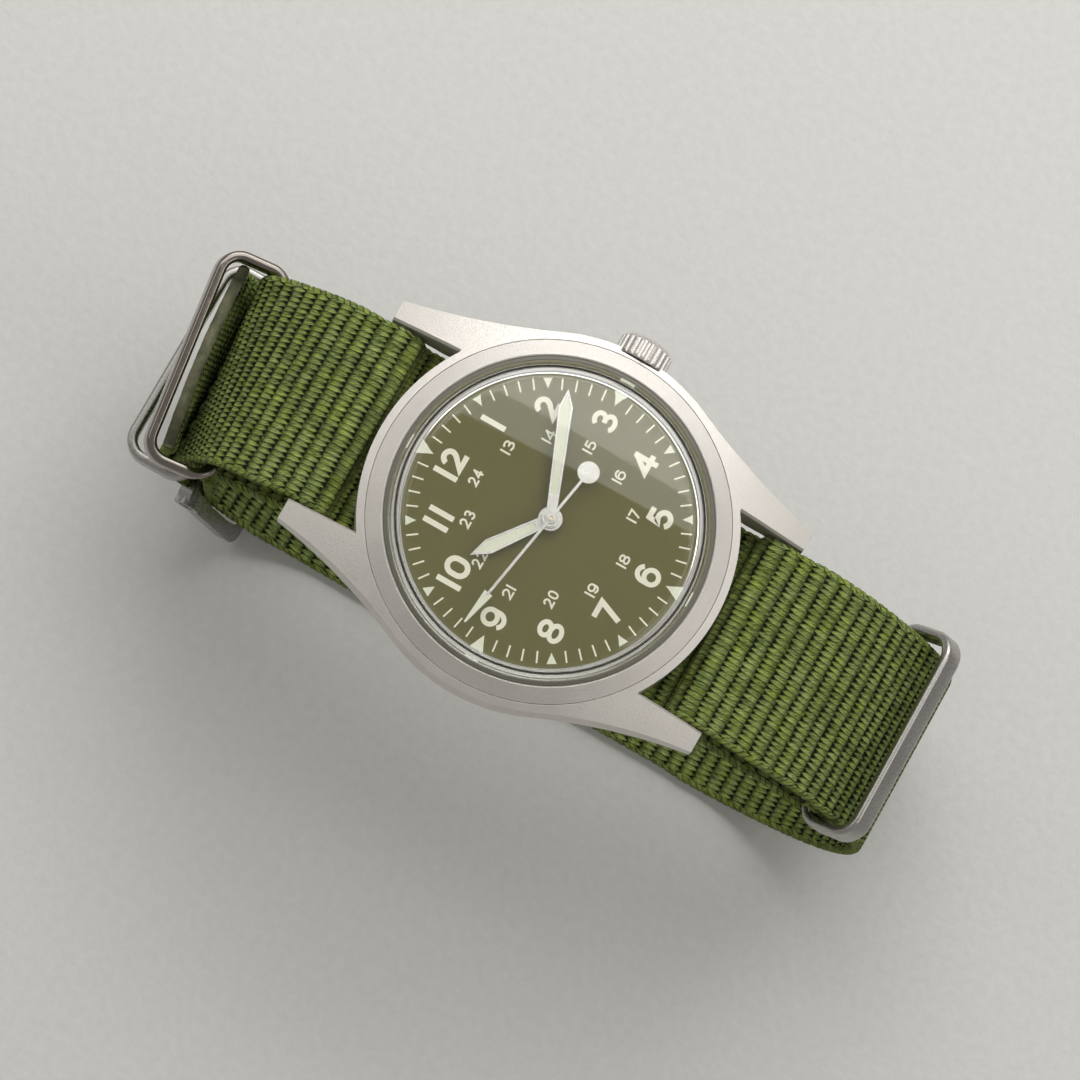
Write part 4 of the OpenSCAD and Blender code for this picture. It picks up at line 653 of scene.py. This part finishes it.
def band_frame(y, z, s):
    """Middle of the band in each row, and its directions across, outward and along"""
    cs, ss = np.cos(np.radians(s)), np.sin(np.radians(s))
    turn = np.radians(skew_at(y, z)) * np.sign(cs)
    wide = np.stack([np.cos(turn), np.sin(turn) * cs, np.sin(turn) * ss], 1)
    outward = np.stack([-np.sin(turn), np.cos(turn) * cs, np.cos(turn) * ss], 1)
    mid = np.stack([np.zeros(len(y)), y, z + DIAL_H], 1)
    along = np.gradient(mid, axis=0)
    along /= np.linalg.norm(along, axis=1)[:, None]
    return mid, wide, outward, along


def half_width(y, z, seed):
    """Half width in each row: narrower at the lugs, uneven, and inside the keepers"""
    lug = np.exp(-((np.abs(y) - BAR_Y) / LUG_REACH) ** 2) * (z > LUG_LOW)
    wider = WIDER * (1 - lug) * ease((np.abs(y) - WIDER_Y) / WIDER_EASE)
    half = STRAP_W / 2 + wider + WOBBLE * smooth_noise(len(y), WOBBLE_ROWS, seed)
    return np.minimum(half, STRAP_W / 2 + KEEPER_SIDE - KEEPER_FREE)


def band_ring():
    """Points round the band: side or 0, place across, height, and how far out in the selvedge"""
    flat = np.linspace(1, -1, COLUMNS + 1)
    arc = np.radians(SELVEDGE_ANGLES)
    ring = [(0, f, 1.0, 0.0) for f in flat]
    ring += [(-1, 0, math.cos(a), math.sin(a)) for a in arc]
    ring += [(0, -f, -1.0, 0.0) for f in flat]
    ring += [(1, 0, -math.cos(a), math.sin(a)) for a in arc]
    return ring


def band_ends(rows):
    """Faces that close both ends: quads from face to face, and one for each selvedge"""
    arc = len(SELVEDGE_ANGLES)
    top = list(range(COLUMNS + 1))
    low = [COLUMNS + 1 + arc + (COLUMNS - k) for k in range(COLUMNS + 1)]
    first = [[top[k], top[k + 1], low[k + 1], low[k]] for k in range(COLUMNS)]
    for start, a, b in ((COLUMNS + 1, top[-1], low[-1]), (2 * COLUMNS + 2 + arc, low[0], top[0])):
        first.append([a] + [start + i for i in range(arc)] + [b])
    base = (2 * COLUMNS + 2 + 2 * arc) * (rows - 1)
    return first + [[base + c for c in face[::-1]] for face in first]


def rib_depth(count, dist, total, seed):
    """Depth of the grooves between the ribs in each row, none at the ends of the band"""
    rows = np.floor(count)
    uneven = np.random.default_rng(seed + 5).uniform(-1, 1, int(rows.max()) + 3)
    depth = RIB_DEPTH + RIB_UNEVEN * uneven[np.clip(rows.astype(int), 0, None)]
    return depth * ease(dist / END_REACH) * ease((total - dist) / END_REACH)


def ribbon(name, route, body, replaces, phase, seed, arc_end=0.0):
    """Woven band: ribs across it in the mesh, rounded selvedges, uneven as cloth is"""
    p, total = run(route, RIB_PITCH / ROWS_PER_RIB)
    y, z, s, dist = p.T
    mid, wide, outward, along = band_frame(y, z, s)
    half = half_width(y, z, seed)
    ring = band_ring()
    count = dist / RIB_PITCH + phase
    depth = rib_depth(count, dist, total, seed)
    bead = BEAD * (1 - np.abs(np.sin(2 * np.pi * count))) ** BEAD_POWER
    fade = ease(1 - dist / FRAY_REACH)
    fray = np.random.default_rng(seed + 9).uniform(-1, 1, FRAYS)
    verts = np.zeros((len(p), len(ring), 3))
    uvs = np.zeros((len(p), len(ring), 2))
    for j, (end, f, h, e) in enumerate(ring):
        wave = 0.035 * np.sin(count * 0.9 + f * 3.1 + seed) + 0.02 * np.sin(count * 2.3 - f * 5.0)
        b = count + wave - np.floor(count + wave) - 0.5
        groove = depth * np.abs(2 * b) ** GROOVE_POWER
        if end == 0:
            x = f * (half - SELVEDGE_R)
            height = h * (HALF_T - SKIN - groove)
            across = x
        else:
            x = end * (half - SELVEDGE_R + (SELVEDGE_R - bead - 0.25 * groove) * e)
            height = h * (HALF_T - SKIN - groove * (0.4 + 0.6 * abs(h)))
            across = end * (half - SELVEDGE_R + SELVEDGE_R * math.acos(abs(h)))
        drop = (arc_end * (x / (STRAP_W / 2)) ** 2 + FRAY * (arc_end > 0) * fray[j % FRAYS]) * fade
        verts[:, j] = mid + wide * x[:, None] + outward * height[:, None] + along * drop[:, None]
        uvs[:, j, 0] = across / STRAND_W
        uvs[:, j, 1] = count + drop / RIB_PITCH
    faces = grid_faces(len(p), len(ring), closed_cols=True)
    caps = band_ends(len(p))
    corner_uv = uvs.reshape(-1, 2)
    flat_uv = [tuple(c) for c in corner_uv[faces].reshape(-1, 2)]
    flat_uv += [tuple(corner_uv[i]) for c in caps for i in c]
    all_faces = [tuple(f) for f in faces] + [tuple(c) for c in caps]
    index = [0] * len(faces) + [1] * len(caps)
    return piece(name, verts.reshape(-1, 3), all_faces, body, [weave, raw_end], replaces,
                 flat_uv, index)


# holes in the long layer, and the slot for the tongue
def cutter(name, matrix, verts, faces):
    me = bpy.data.meshes.new(name)
    me.from_pydata([tuple(matrix @ Vector(v) * MM) for v in verts], [], faces)
    me.materials.append(raw_end)
    o = bpy.data.objects.new(name, me)
    bpy.context.scene.collection.objects.link(o)
    return o


def prism(points, a, b):
    """Closed prism: points in a plane (u, v), from a to b along the third axis"""
    k = len(points)
    verts = [(u, v, a) for u, v in points] + [(u, v, b) for u, v in points]
    faces = [tuple(range(k))[::-1], tuple(range(k, 2 * k))]
    faces += [(i, (i + 1) % k, (i + 1) % k + k, i + k) for i in range(k)]
    return verts, faces


def circle(r, k=32):
    return [(r * math.cos(2 * math.pi * i / k), r * math.sin(2 * math.pi * i / k)) for i in range(k)]


def hole_cutters():
    verts, faces = prism(circle(HOLE_R), -1, 3)
    return [cutter("hole", Matrix.Translation((0, L6[0] + 3 + i * HOLE_PITCH, 0)), verts, faces)
            for i in range(HOLES)]


def tongue_cutter(name, outline):
    """Cutter as wide as the tongue needs; the outline lies in the buckle's own plane"""
    half = TONGUE_W / 2 + 0.25
    verts, faces = prism(outline, -half, half)
    turn = Matrix.Rotation(math.atan2(FRONT_C[1] - PIN_C[1], FRONT_C[0] - PIN_C[0]), 4, "X")
    in_buckle = Matrix.Translation((0, PIN_C[0], PIN_C[1] + DIAL_H)) @ turn
    return cutter(name, in_buckle, [(c, a, b) for a, b, c in verts], faces)


def cut(o, tools):
    for t in tools:
        mod = o.modifiers.new("cut", "BOOLEAN")
        mod.operation, mod.object, mod.solver = "DIFFERENCE", t, "EXACT"
    dg = bpy.context.evaluated_depsgraph_get()
    new = bpy.data.meshes.new_from_object(o.evaluated_get(dg))
    o.modifiers.clear()
    o.data = new
    for t in tools:
        bpy.data.objects.remove(t)


SLOT = [(0.3, 1.5), (3.2, 1.5), (3.2, 4.1), (0.3, 4.1)]
EYE = circle(BAR_LOOP + HALF_T + FIT)
strap = ribbon("strap_long_woven", LONG_ROUTE, "watch", ["strap_long"], 0.0, 3, TAIL_ARC)
cut(strap, hole_cutters() + [tongue_cutter("slot", SLOT), tongue_cutter("eye", EYE)])
ribbon("strap_short_woven", SHORT_ROUTE, "watch", ["strap_short"], 0.3, 11)


# stitches
def tube(points, r, sides=8):
    """Round thread through points, with pointed ends"""
    pts = np.asarray(points, float)
    tang = np.gradient(pts, axis=0)
    tang /= np.linalg.norm(tang, axis=1)[:, None]
    ref = np.array([0, 0, 1.0])
    verts = []
    for i, (p, t) in enumerate(zip(pts, tang)):
        a = np.cross(t, ref)
        a /= np.linalg.norm(a)
        b = np.cross(t, a)
        thin = max(0.15, math.sin(math.pi * i / (len(pts) - 1)) ** 0.35)
        for q in range(sides):
            w = 2 * math.pi * q / sides
            verts.append(p + r * thin * (math.cos(w) * a + math.sin(w) * b))
    faces = [tuple(x) for x in grid_faces(len(pts), sides, closed_cols=True)]
    last = (len(pts) - 1) * sides
    return np.array(verts), faces + [tuple(range(sides))[::-1], tuple(range(last, last + sides))]


def stitching():
    """Rows of stitches on the strap's outer side, above the keeper by the buckle"""
    stitches = []
    t = np.linspace(0, 1, 9)
    for row in range(STITCH_ROWS):
        for i in range(STITCHES):
            x0 = (i - (STITCHES - 1) / 2) * STITCH_PITCH + STITCH_X
            z0 = KB_Z + STITCH_UP + STITCH_ROW_GAP * row + DIAL_H
            y0 = OUTER_Y + x0 * math.tan(math.radians(skew_at(OUTER_Y, z0 - DIAL_H)))
            tilt = rng.uniform(-STITCH_TILT, STITCH_TILT)
            x = x0 - 0.1 + STITCH_LEN * t
            y = y0 - 0.08 + STITCH_RISE * np.sin(math.pi * t)
            stitches.append(tube(np.stack([x, y, z0 + tilt * (t - 0.5)], 1), THREAD_R))
    verts, faces = join(stitches)
    piece("stitches", verts, faces, "watch", [thread], ["strap_stitching"])


stitching()


# crystal
def lathe(name, profile, body, mat, replaces, sharp, steps=256):
    """Turned piece from a profile (radius, height above the dial) that ends on the axis"""
    prof = np.asarray(profile, float)
    a = np.linspace(0, 2 * math.pi, steps, endpoint=False)
    verts = np.stack([np.outer(np.cos(a), prof[:, 0]), np.outer(np.sin(a), prof[:, 0]),
                      np.tile(prof[:, 1] + DIAL_H, (steps, 1))], -1).reshape(-1, 3)
    faces = grid_faces(steps, len(prof), closed_rows=True)
    o = piece(name, verts, faces, body, [mat], replaces, sharp=sharp)
    bm = bmesh.new()
    bm.from_mesh(o.data)
    bmesh.ops.remove_doubles(bm, verts=bm.verts, dist=1e-7)
    bmesh.ops.recalc_face_normals(bm, faces=bm.faces)
    bm.to_mesh(o.data)
    bm.free()


def dome_profile(r_side, round_r, z_top_edge, z_foot, tilt=3.34, dome_steps=40, round_steps=28):
    """From the axis over the dome and the shoulder, down the side"""
    cx, cz = r_side - round_r, z_top_edge - round_r
    jx, jz = cx + round_r * sind(tilt), cz + round_r * cosd(tilt)
    big = jx / sind(tilt)
    pts = []
    for i in range(dome_steps):
        a = tilt * i / dome_steps
        pts.append((big * sind(a), jz + big * (cosd(a) - cosd(tilt))))
    for i in range(round_steps + 1):
        a = tilt + (90 - tilt) * i / round_steps
        pts.append((cx + round_r * sind(a), cz + round_r * cosd(a)))
    return pts + [(r_side, z_foot + 0.02), (r_side, z_foot)]


outer = dome_profile(CRYSTAL_R, CRYSTAL_ROUND, CRYSTAL_EDGE_H, CRYSTAL_FOOT)
inner = dome_profile(CRYSTAL_R - CRYSTAL_T, CRYSTAL_IN_ROUND, CRYSTAL_EDGE_H - CRYSTAL_T, CRYSTAL_FOOT)
lathe("crystal_dome", outer + inner[::-1], "watch", crystal_glass, ["crystal"], 50)


# numbers and minute marks
def arc_pts(cx, cy, rx, ry, a0, a1, k=14):
    t = np.radians(np.linspace(a0, a1, k))
    return [(cx + rx * math.cos(x), cy + ry * math.sin(x)) for x in t]


def bowl(cx, cy, rx, ry, k):
    """Closed oval as one line of a digit"""
    return arc_pts(cx, cy, rx, ry, 0, 360, k)[:-1], True


# centre lines of the digits in a box 1 x 1, each a list of points and True where it is closed
GLYPHS = {
    "0": [(arc_pts(0.5, 0.62, 0.5, 0.38, 0, 180) + arc_pts(0.5, 0.38, 0.5, 0.38, 180, 360), True)],
    "1": [([(0.5, 0), (0.5, 1)], False)],
    "2": [(arc_pts(0.5, 0.71, 0.47, 0.29, 172, -22, 18) + [(0.82, 0.47), (0.05, 0.0), (1.0, 0.0)], False)],
    "3": [(arc_pts(0.47, 0.745, 0.44, 0.255, 158, -78, 18) + [(0.36, 0.49)], False),
          ([(0.36, 0.49), (0.5, 0.5)] + arc_pts(0.5, 0.255, 0.5, 0.255, 75, -156, 20), False)],
    "4": [([(0.74, 0.0), (0.74, 1.0)], False), ([(0.74, 1.0), (0.0, 0.26), (1.0, 0.26)], False)],
    "5": [([(0.93, 1.0), (0.17, 1.0), (0.1, 0.53)] + arc_pts(0.5, 0.31, 0.5, 0.31, 128, -150, 22), False)],
    "6": [bowl(0.5, 0.33, 0.5, 0.33, 28),
          ([(0.0, 0.33)] + arc_pts(0.5, 0.65, 0.5, 0.35, 180, 28, 18), False)],
    "7": [([(0.0, 1.0), (1.0, 1.0), (0.34, 0.0)], False)],
    "8": [bowl(0.5, 0.755, 0.43, 0.245, 24), bowl(0.5, 0.26, 0.5, 0.26, 26)],
    "9": [bowl(0.5, 0.67, 0.5, 0.33, 28),
          ([(1.0, 0.67)] + arc_pts(0.5, 0.35, 0.5, 0.35, 0, -152, 18), False)],
}
# boxes of the numbers in mm: text, left, right, bottom, top
HOUR_NUMBERS = [
    ("1", -1.40, -0.84, 9.85, 12.45), ("2", -0.46, 1.45, 9.85, 12.45), ("1", 5.35, 5.93, 8.2, 10.9),
    ("2", 8.7, 10.6, 4.4, 7.0), ("3", 10.35, 12.3, -1.2, 1.4), ("4", 8.5, 10.7, -6.65, -4.05),
    ("5", 4.65, 6.65, -10.7, -8.1), ("6", -0.98, 0.98, -12.45, -9.75), ("7", -6.2, -4.2, -10.8, -8.15),
    ("8", -10.6, -8.5, -6.8, -4.1), ("9", -12.25, -10.25, -1.3, 1.35), ("1", -10.65, -10.08, 4.25, 6.9),
    ("0", -9.65, -7.55, 4.25, 6.9), ("1", -6.25, -5.67, 8.2, 10.9), ("1", -5.0, -4.42, 8.2, 10.9)]
SMALL_NUMBERS = [
    ("24", -0.8, 0.85, 7.85, 8.95), ("13", 3.6, 4.95, 6.55, 7.68), ("14", 6.6, 7.9, 3.58, 4.7),
    ("15", 7.7, 8.97, -0.43, 0.7), ("16", 6.55, 7.85, -4.43, -3.3), ("17", 3.9, 5.05, -7.57, -6.43),
    ("18", -0.55, 0.72, -8.88, -7.75), ("19", -4.6, -3.35, -7.6, -6.45), ("20", -7.6, -5.93, -4.5, -3.37),
    ("21", -8.9, -7.63, -0.55, 0.58), ("22", -7.7, -6.03, 3.52, 4.65), ("23", -4.82, -3.1, 6.5, 7.65)]


def stroke(points, closed, w, z_top):
    """Flat line of even width with square corners, as a thin solid"""
    p = np.asarray(points, float)
    k = len(p)
    d1, d0 = np.roll(p, -1, 0) - p, p - np.roll(p, 1, 0)
    if not closed:
        d1[-1], d0[0] = d0[-1], d1[0]
    d1 /= np.linalg.norm(d1, axis=1)[:, None]
    d0 /= np.linalg.norm(d0, axis=1)[:, None]
    n1, n0 = np.stack([-d1[:, 1], d1[:, 0]], 1), np.stack([-d0[:, 1], d0[:, 0]], 1)
    mitre = n1 + n0
    mitre /= np.maximum(np.linalg.norm(mitre, axis=1), 1e-6)[:, None]
    scale = 1 / np.maximum(np.sum(mitre * n1, axis=1), 0.42)
    off = mitre * (w / 2 * scale)[:, None]
    verts = [(*q, z) for z in (z_top, 0.0) for side in (p + off, p - off) for q in side]
    faces = []
    for i in range(k if closed else k - 1):
        j = (i + 1) % k
        faces += [(i, k + i, k + j, j), (i, j, 2 * k + j, 2 * k + i), (k + j, k + i, 3 * k + i, 3 * k + j)]
    if not closed:
        faces += [(0, 2 * k, 3 * k, k), (k - 1, 2 * k - 1, 4 * k - 1, 3 * k - 1)]
    return verts, faces


def digit(d, x0, x1, y0, y1, w):
    """Centre lines of a digit in its box, for strokes of width w that end on the box"""
    lines = []
    for pts, closed in GLYPHS[d]:
        h = w / 2
        p = [(x0 + h + x * (x1 - x0 - w), y0 + h + y * (y1 - y0 - w)) for x, y in pts]
        if d == "1":
            p = [((x0 + x1) / 2, y0), ((x0 + x1) / 2, y1)]
        elif d == "4":
            p = [(p[0][0], y0), (p[1][0], y1)] if len(p) == 2 else [(p[0][0], y1 - h), p[1], (x1, p[2][1])]
        elif d == "7":
            p = [(x0, y1 - h), (p[1][0], y1 - h), (p[2][0], y0)]
        elif d == "2":
            p = p[:-1] + [(x1, y0 + h)]
        lines.append((p, closed, w))
    return lines


def dial_print():
    lines = []
    for d, x0, x1, y0, y1 in HOUR_NUMBERS:
        lines += digit(d, x0, x1, y0, y1, ROUND_STROKE if d in "3689" else HOUR_STROKE)
    for text, x0, x1, y0, y1 in SMALL_NUMBERS:
        ones = 1 if "1" in text else 0
        wide = (x1 - x0 - SMALL_GAP - SMALL_STROKE * ones) / (2 - ones)
        x = x0
        for d in text:
            w = SMALL_STROKE if d == "1" else wide
            lines += digit(d, x, x + w, y0, y1, SMALL_STROKE)
            x += w + SMALL_GAP
    # strokes that cross end at different heights, so that their faces don't coincide
    marks = [stroke(p, closed, w, PRINT_T + PRINT_STEP * (i % PRINT_STEPS))
             for i, (p, closed, w) in enumerate(lines, 1)]
    for i in range(60):
        if i % 5:
            s, c = sind(6 * i), cosd(6 * i)
            ends = [(MINUTE_IN * s, MINUTE_IN * c), (MINUTE_OUT * s, MINUTE_OUT * c)]
            marks.append(stroke(ends, False, MINUTE_W, PRINT_T))
    verts, faces = join(marks)
    verts[:, 2] += DIAL_H
    piece("dial_numbers", verts, faces, "watch", [print_white], smooth=False)


dial_print()


# keepers
def rounded_path(w, h, r, spacing=1.2, steps=10):
    """Closed line round a rectangle that starts at y 0, with its outward normals"""
    around_it = (corner(w / 2 - r, r, r, -90, steps) + corner(w / 2 - r, h - r, r, 0, steps)
                 + corner(-w / 2 + r, h - r, r, 90, steps) + corner(-w / 2 + r, r, r, 180, steps))
    path, normals = [], []
    for (p, n), (p2, n2) in zip(around_it, around_it[1:] + around_it[:1]):
        a, b = np.array(p), np.array(p2)
        parts = max(1, round(float(np.linalg.norm(b - a)) / spacing))
        for q in range(parts):
            f = q / parts
            normal = np.array(n) * (1 - f) + np.array(n2) * f
            path.append(a * (1 - f) + b * f)
            normals.append(normal / np.linalg.norm(normal))
    return np.array(path), np.array(normals)


def section(t, w, r, steps=6):
    """Rounded rectangle t x w about the middle"""
    x, y = t / 2 - r, w / 2 - r
    around_it = (corner(x, y, r, 0, steps) + corner(-x, y, r, 90, steps)
                 + corner(-x, -y, r, 180, steps) + corner(x, -y, r, 270, steps))
    return np.array([p for p, n in around_it])


def keeper(name, matrix, body, node, steel):
    """Loop of flat wire with soft edges round the strap"""
    w = STRAP_W + 2 * KEEPER_SIDE + KEEPER_T
    path, normals = rounded_path(w, KEEPER_H + KEEPER_T, KEEPER_ROUND - KEEPER_T / 2)
    sec = section(KEEPER_T, KEEPER_W, KEEPER_SOFT)
    verts = np.zeros((len(path), len(sec), 3))
    for j, (a, b) in enumerate(sec):
        verts[:, j, :2] = path + normals * a
        verts[:, j, 2] = b
    m = np.array(matrix)
    placed = verts.reshape(-1, 3) @ m[:3, :3].T + m[:3, 3]
    faces = grid_faces(len(path), len(sec), closed_rows=True, closed_cols=True)
    piece(name, placed, faces, body, [steel], [node])


def at_strap(c, n):
    """Place of a keeper whose inner bar has its middle at c and whose opening looks to n"""
    return Matrix.Translation((0, c[0], c[1] + DIAL_H)) @ Matrix.Rotation(math.atan2(n[1], n[0]), 4, "X")


lean = 90 - KEEPER_12_AT - KEEPER_LEAN
skewed = at_strap(K12_C, (cosd(lean), sind(lean))) @ Matrix.Rotation(math.radians(KEEPER_SKEW), 4, "Z")
keeper("keeper_12_round", skewed, "keeper twelve", "keeper_12", keeper_shaded_polish)
keeper("keeper_6_round", at_strap(K6_C, K6_N), "keeper six", "keeper_6", keeper_shaded_satin)
keeper("keeper_buckle_round", at_strap(KB_C, (1, 0)), "keeper middle", "keeper_buckle", keeper_shaded_satin)


# floor and world
def floor_material():
    """Pale where it is looked at, grey where it lights the watch"""
    m, n, b = material("floor")
    speck = n.noise(n.place(), 900.0, 3.0)
    ray = n.add("LightPath").outputs
    shown = n.most(n.most(ray["Is Camera Ray"], ray["Is Glossy Ray"]), ray["Is Transmission Ray"])
    pale = n.mixc(speck, rgb(226, 225, 222), rgb(214, 213, 210))
    n.put(b.inputs["Base Color"], n.mixc(shown, rgb(96, 96, 98), pale))
    b.inputs["Roughness"].default_value = 0.85
    n.put(b.inputs["Normal"], n.bumped(speck, 0.3, 0.3 * MM))
    return m


def lay_floor():
    me = bpy.data.meshes.new("floor")
    verts = [(x, y, FLOOR_Z) for x, y in circle(FLOOR_R, FLOOR_SIDES)]
    me.from_pydata(verts, [], [tuple(range(FLOOR_SIDES))])
    me.materials.append(floor_material())
    floor = bpy.data.objects.new("floor", me)
    bpy.context.scene.collection.objects.link(floor)


def set_world():
    """Pale to the camera and through clear glass, and dimmer as light"""
    world = bpy.data.worlds.new("studio")
    bpy.context.scene.world = world
    world.use_nodes = True
    n = Nodes(world.node_tree)
    ray = n.add("LightPath").outputs
    clear = n.times(ray["Is Transmission Ray"], n.maths("LESS_THAN", ray["Diffuse Depth"], 0.5))
    seen = n.most(ray["Is Camera Ray"], clear)
    back = world.node_tree.nodes["Background"]
    back.inputs["Color"].default_value = WORLD_COLOUR
    n.put(back.inputs["Strength"], n.plus(n.times(seen, WORLD_SEEN), WORLD_LIGHT))


lay_floor()
set_world()
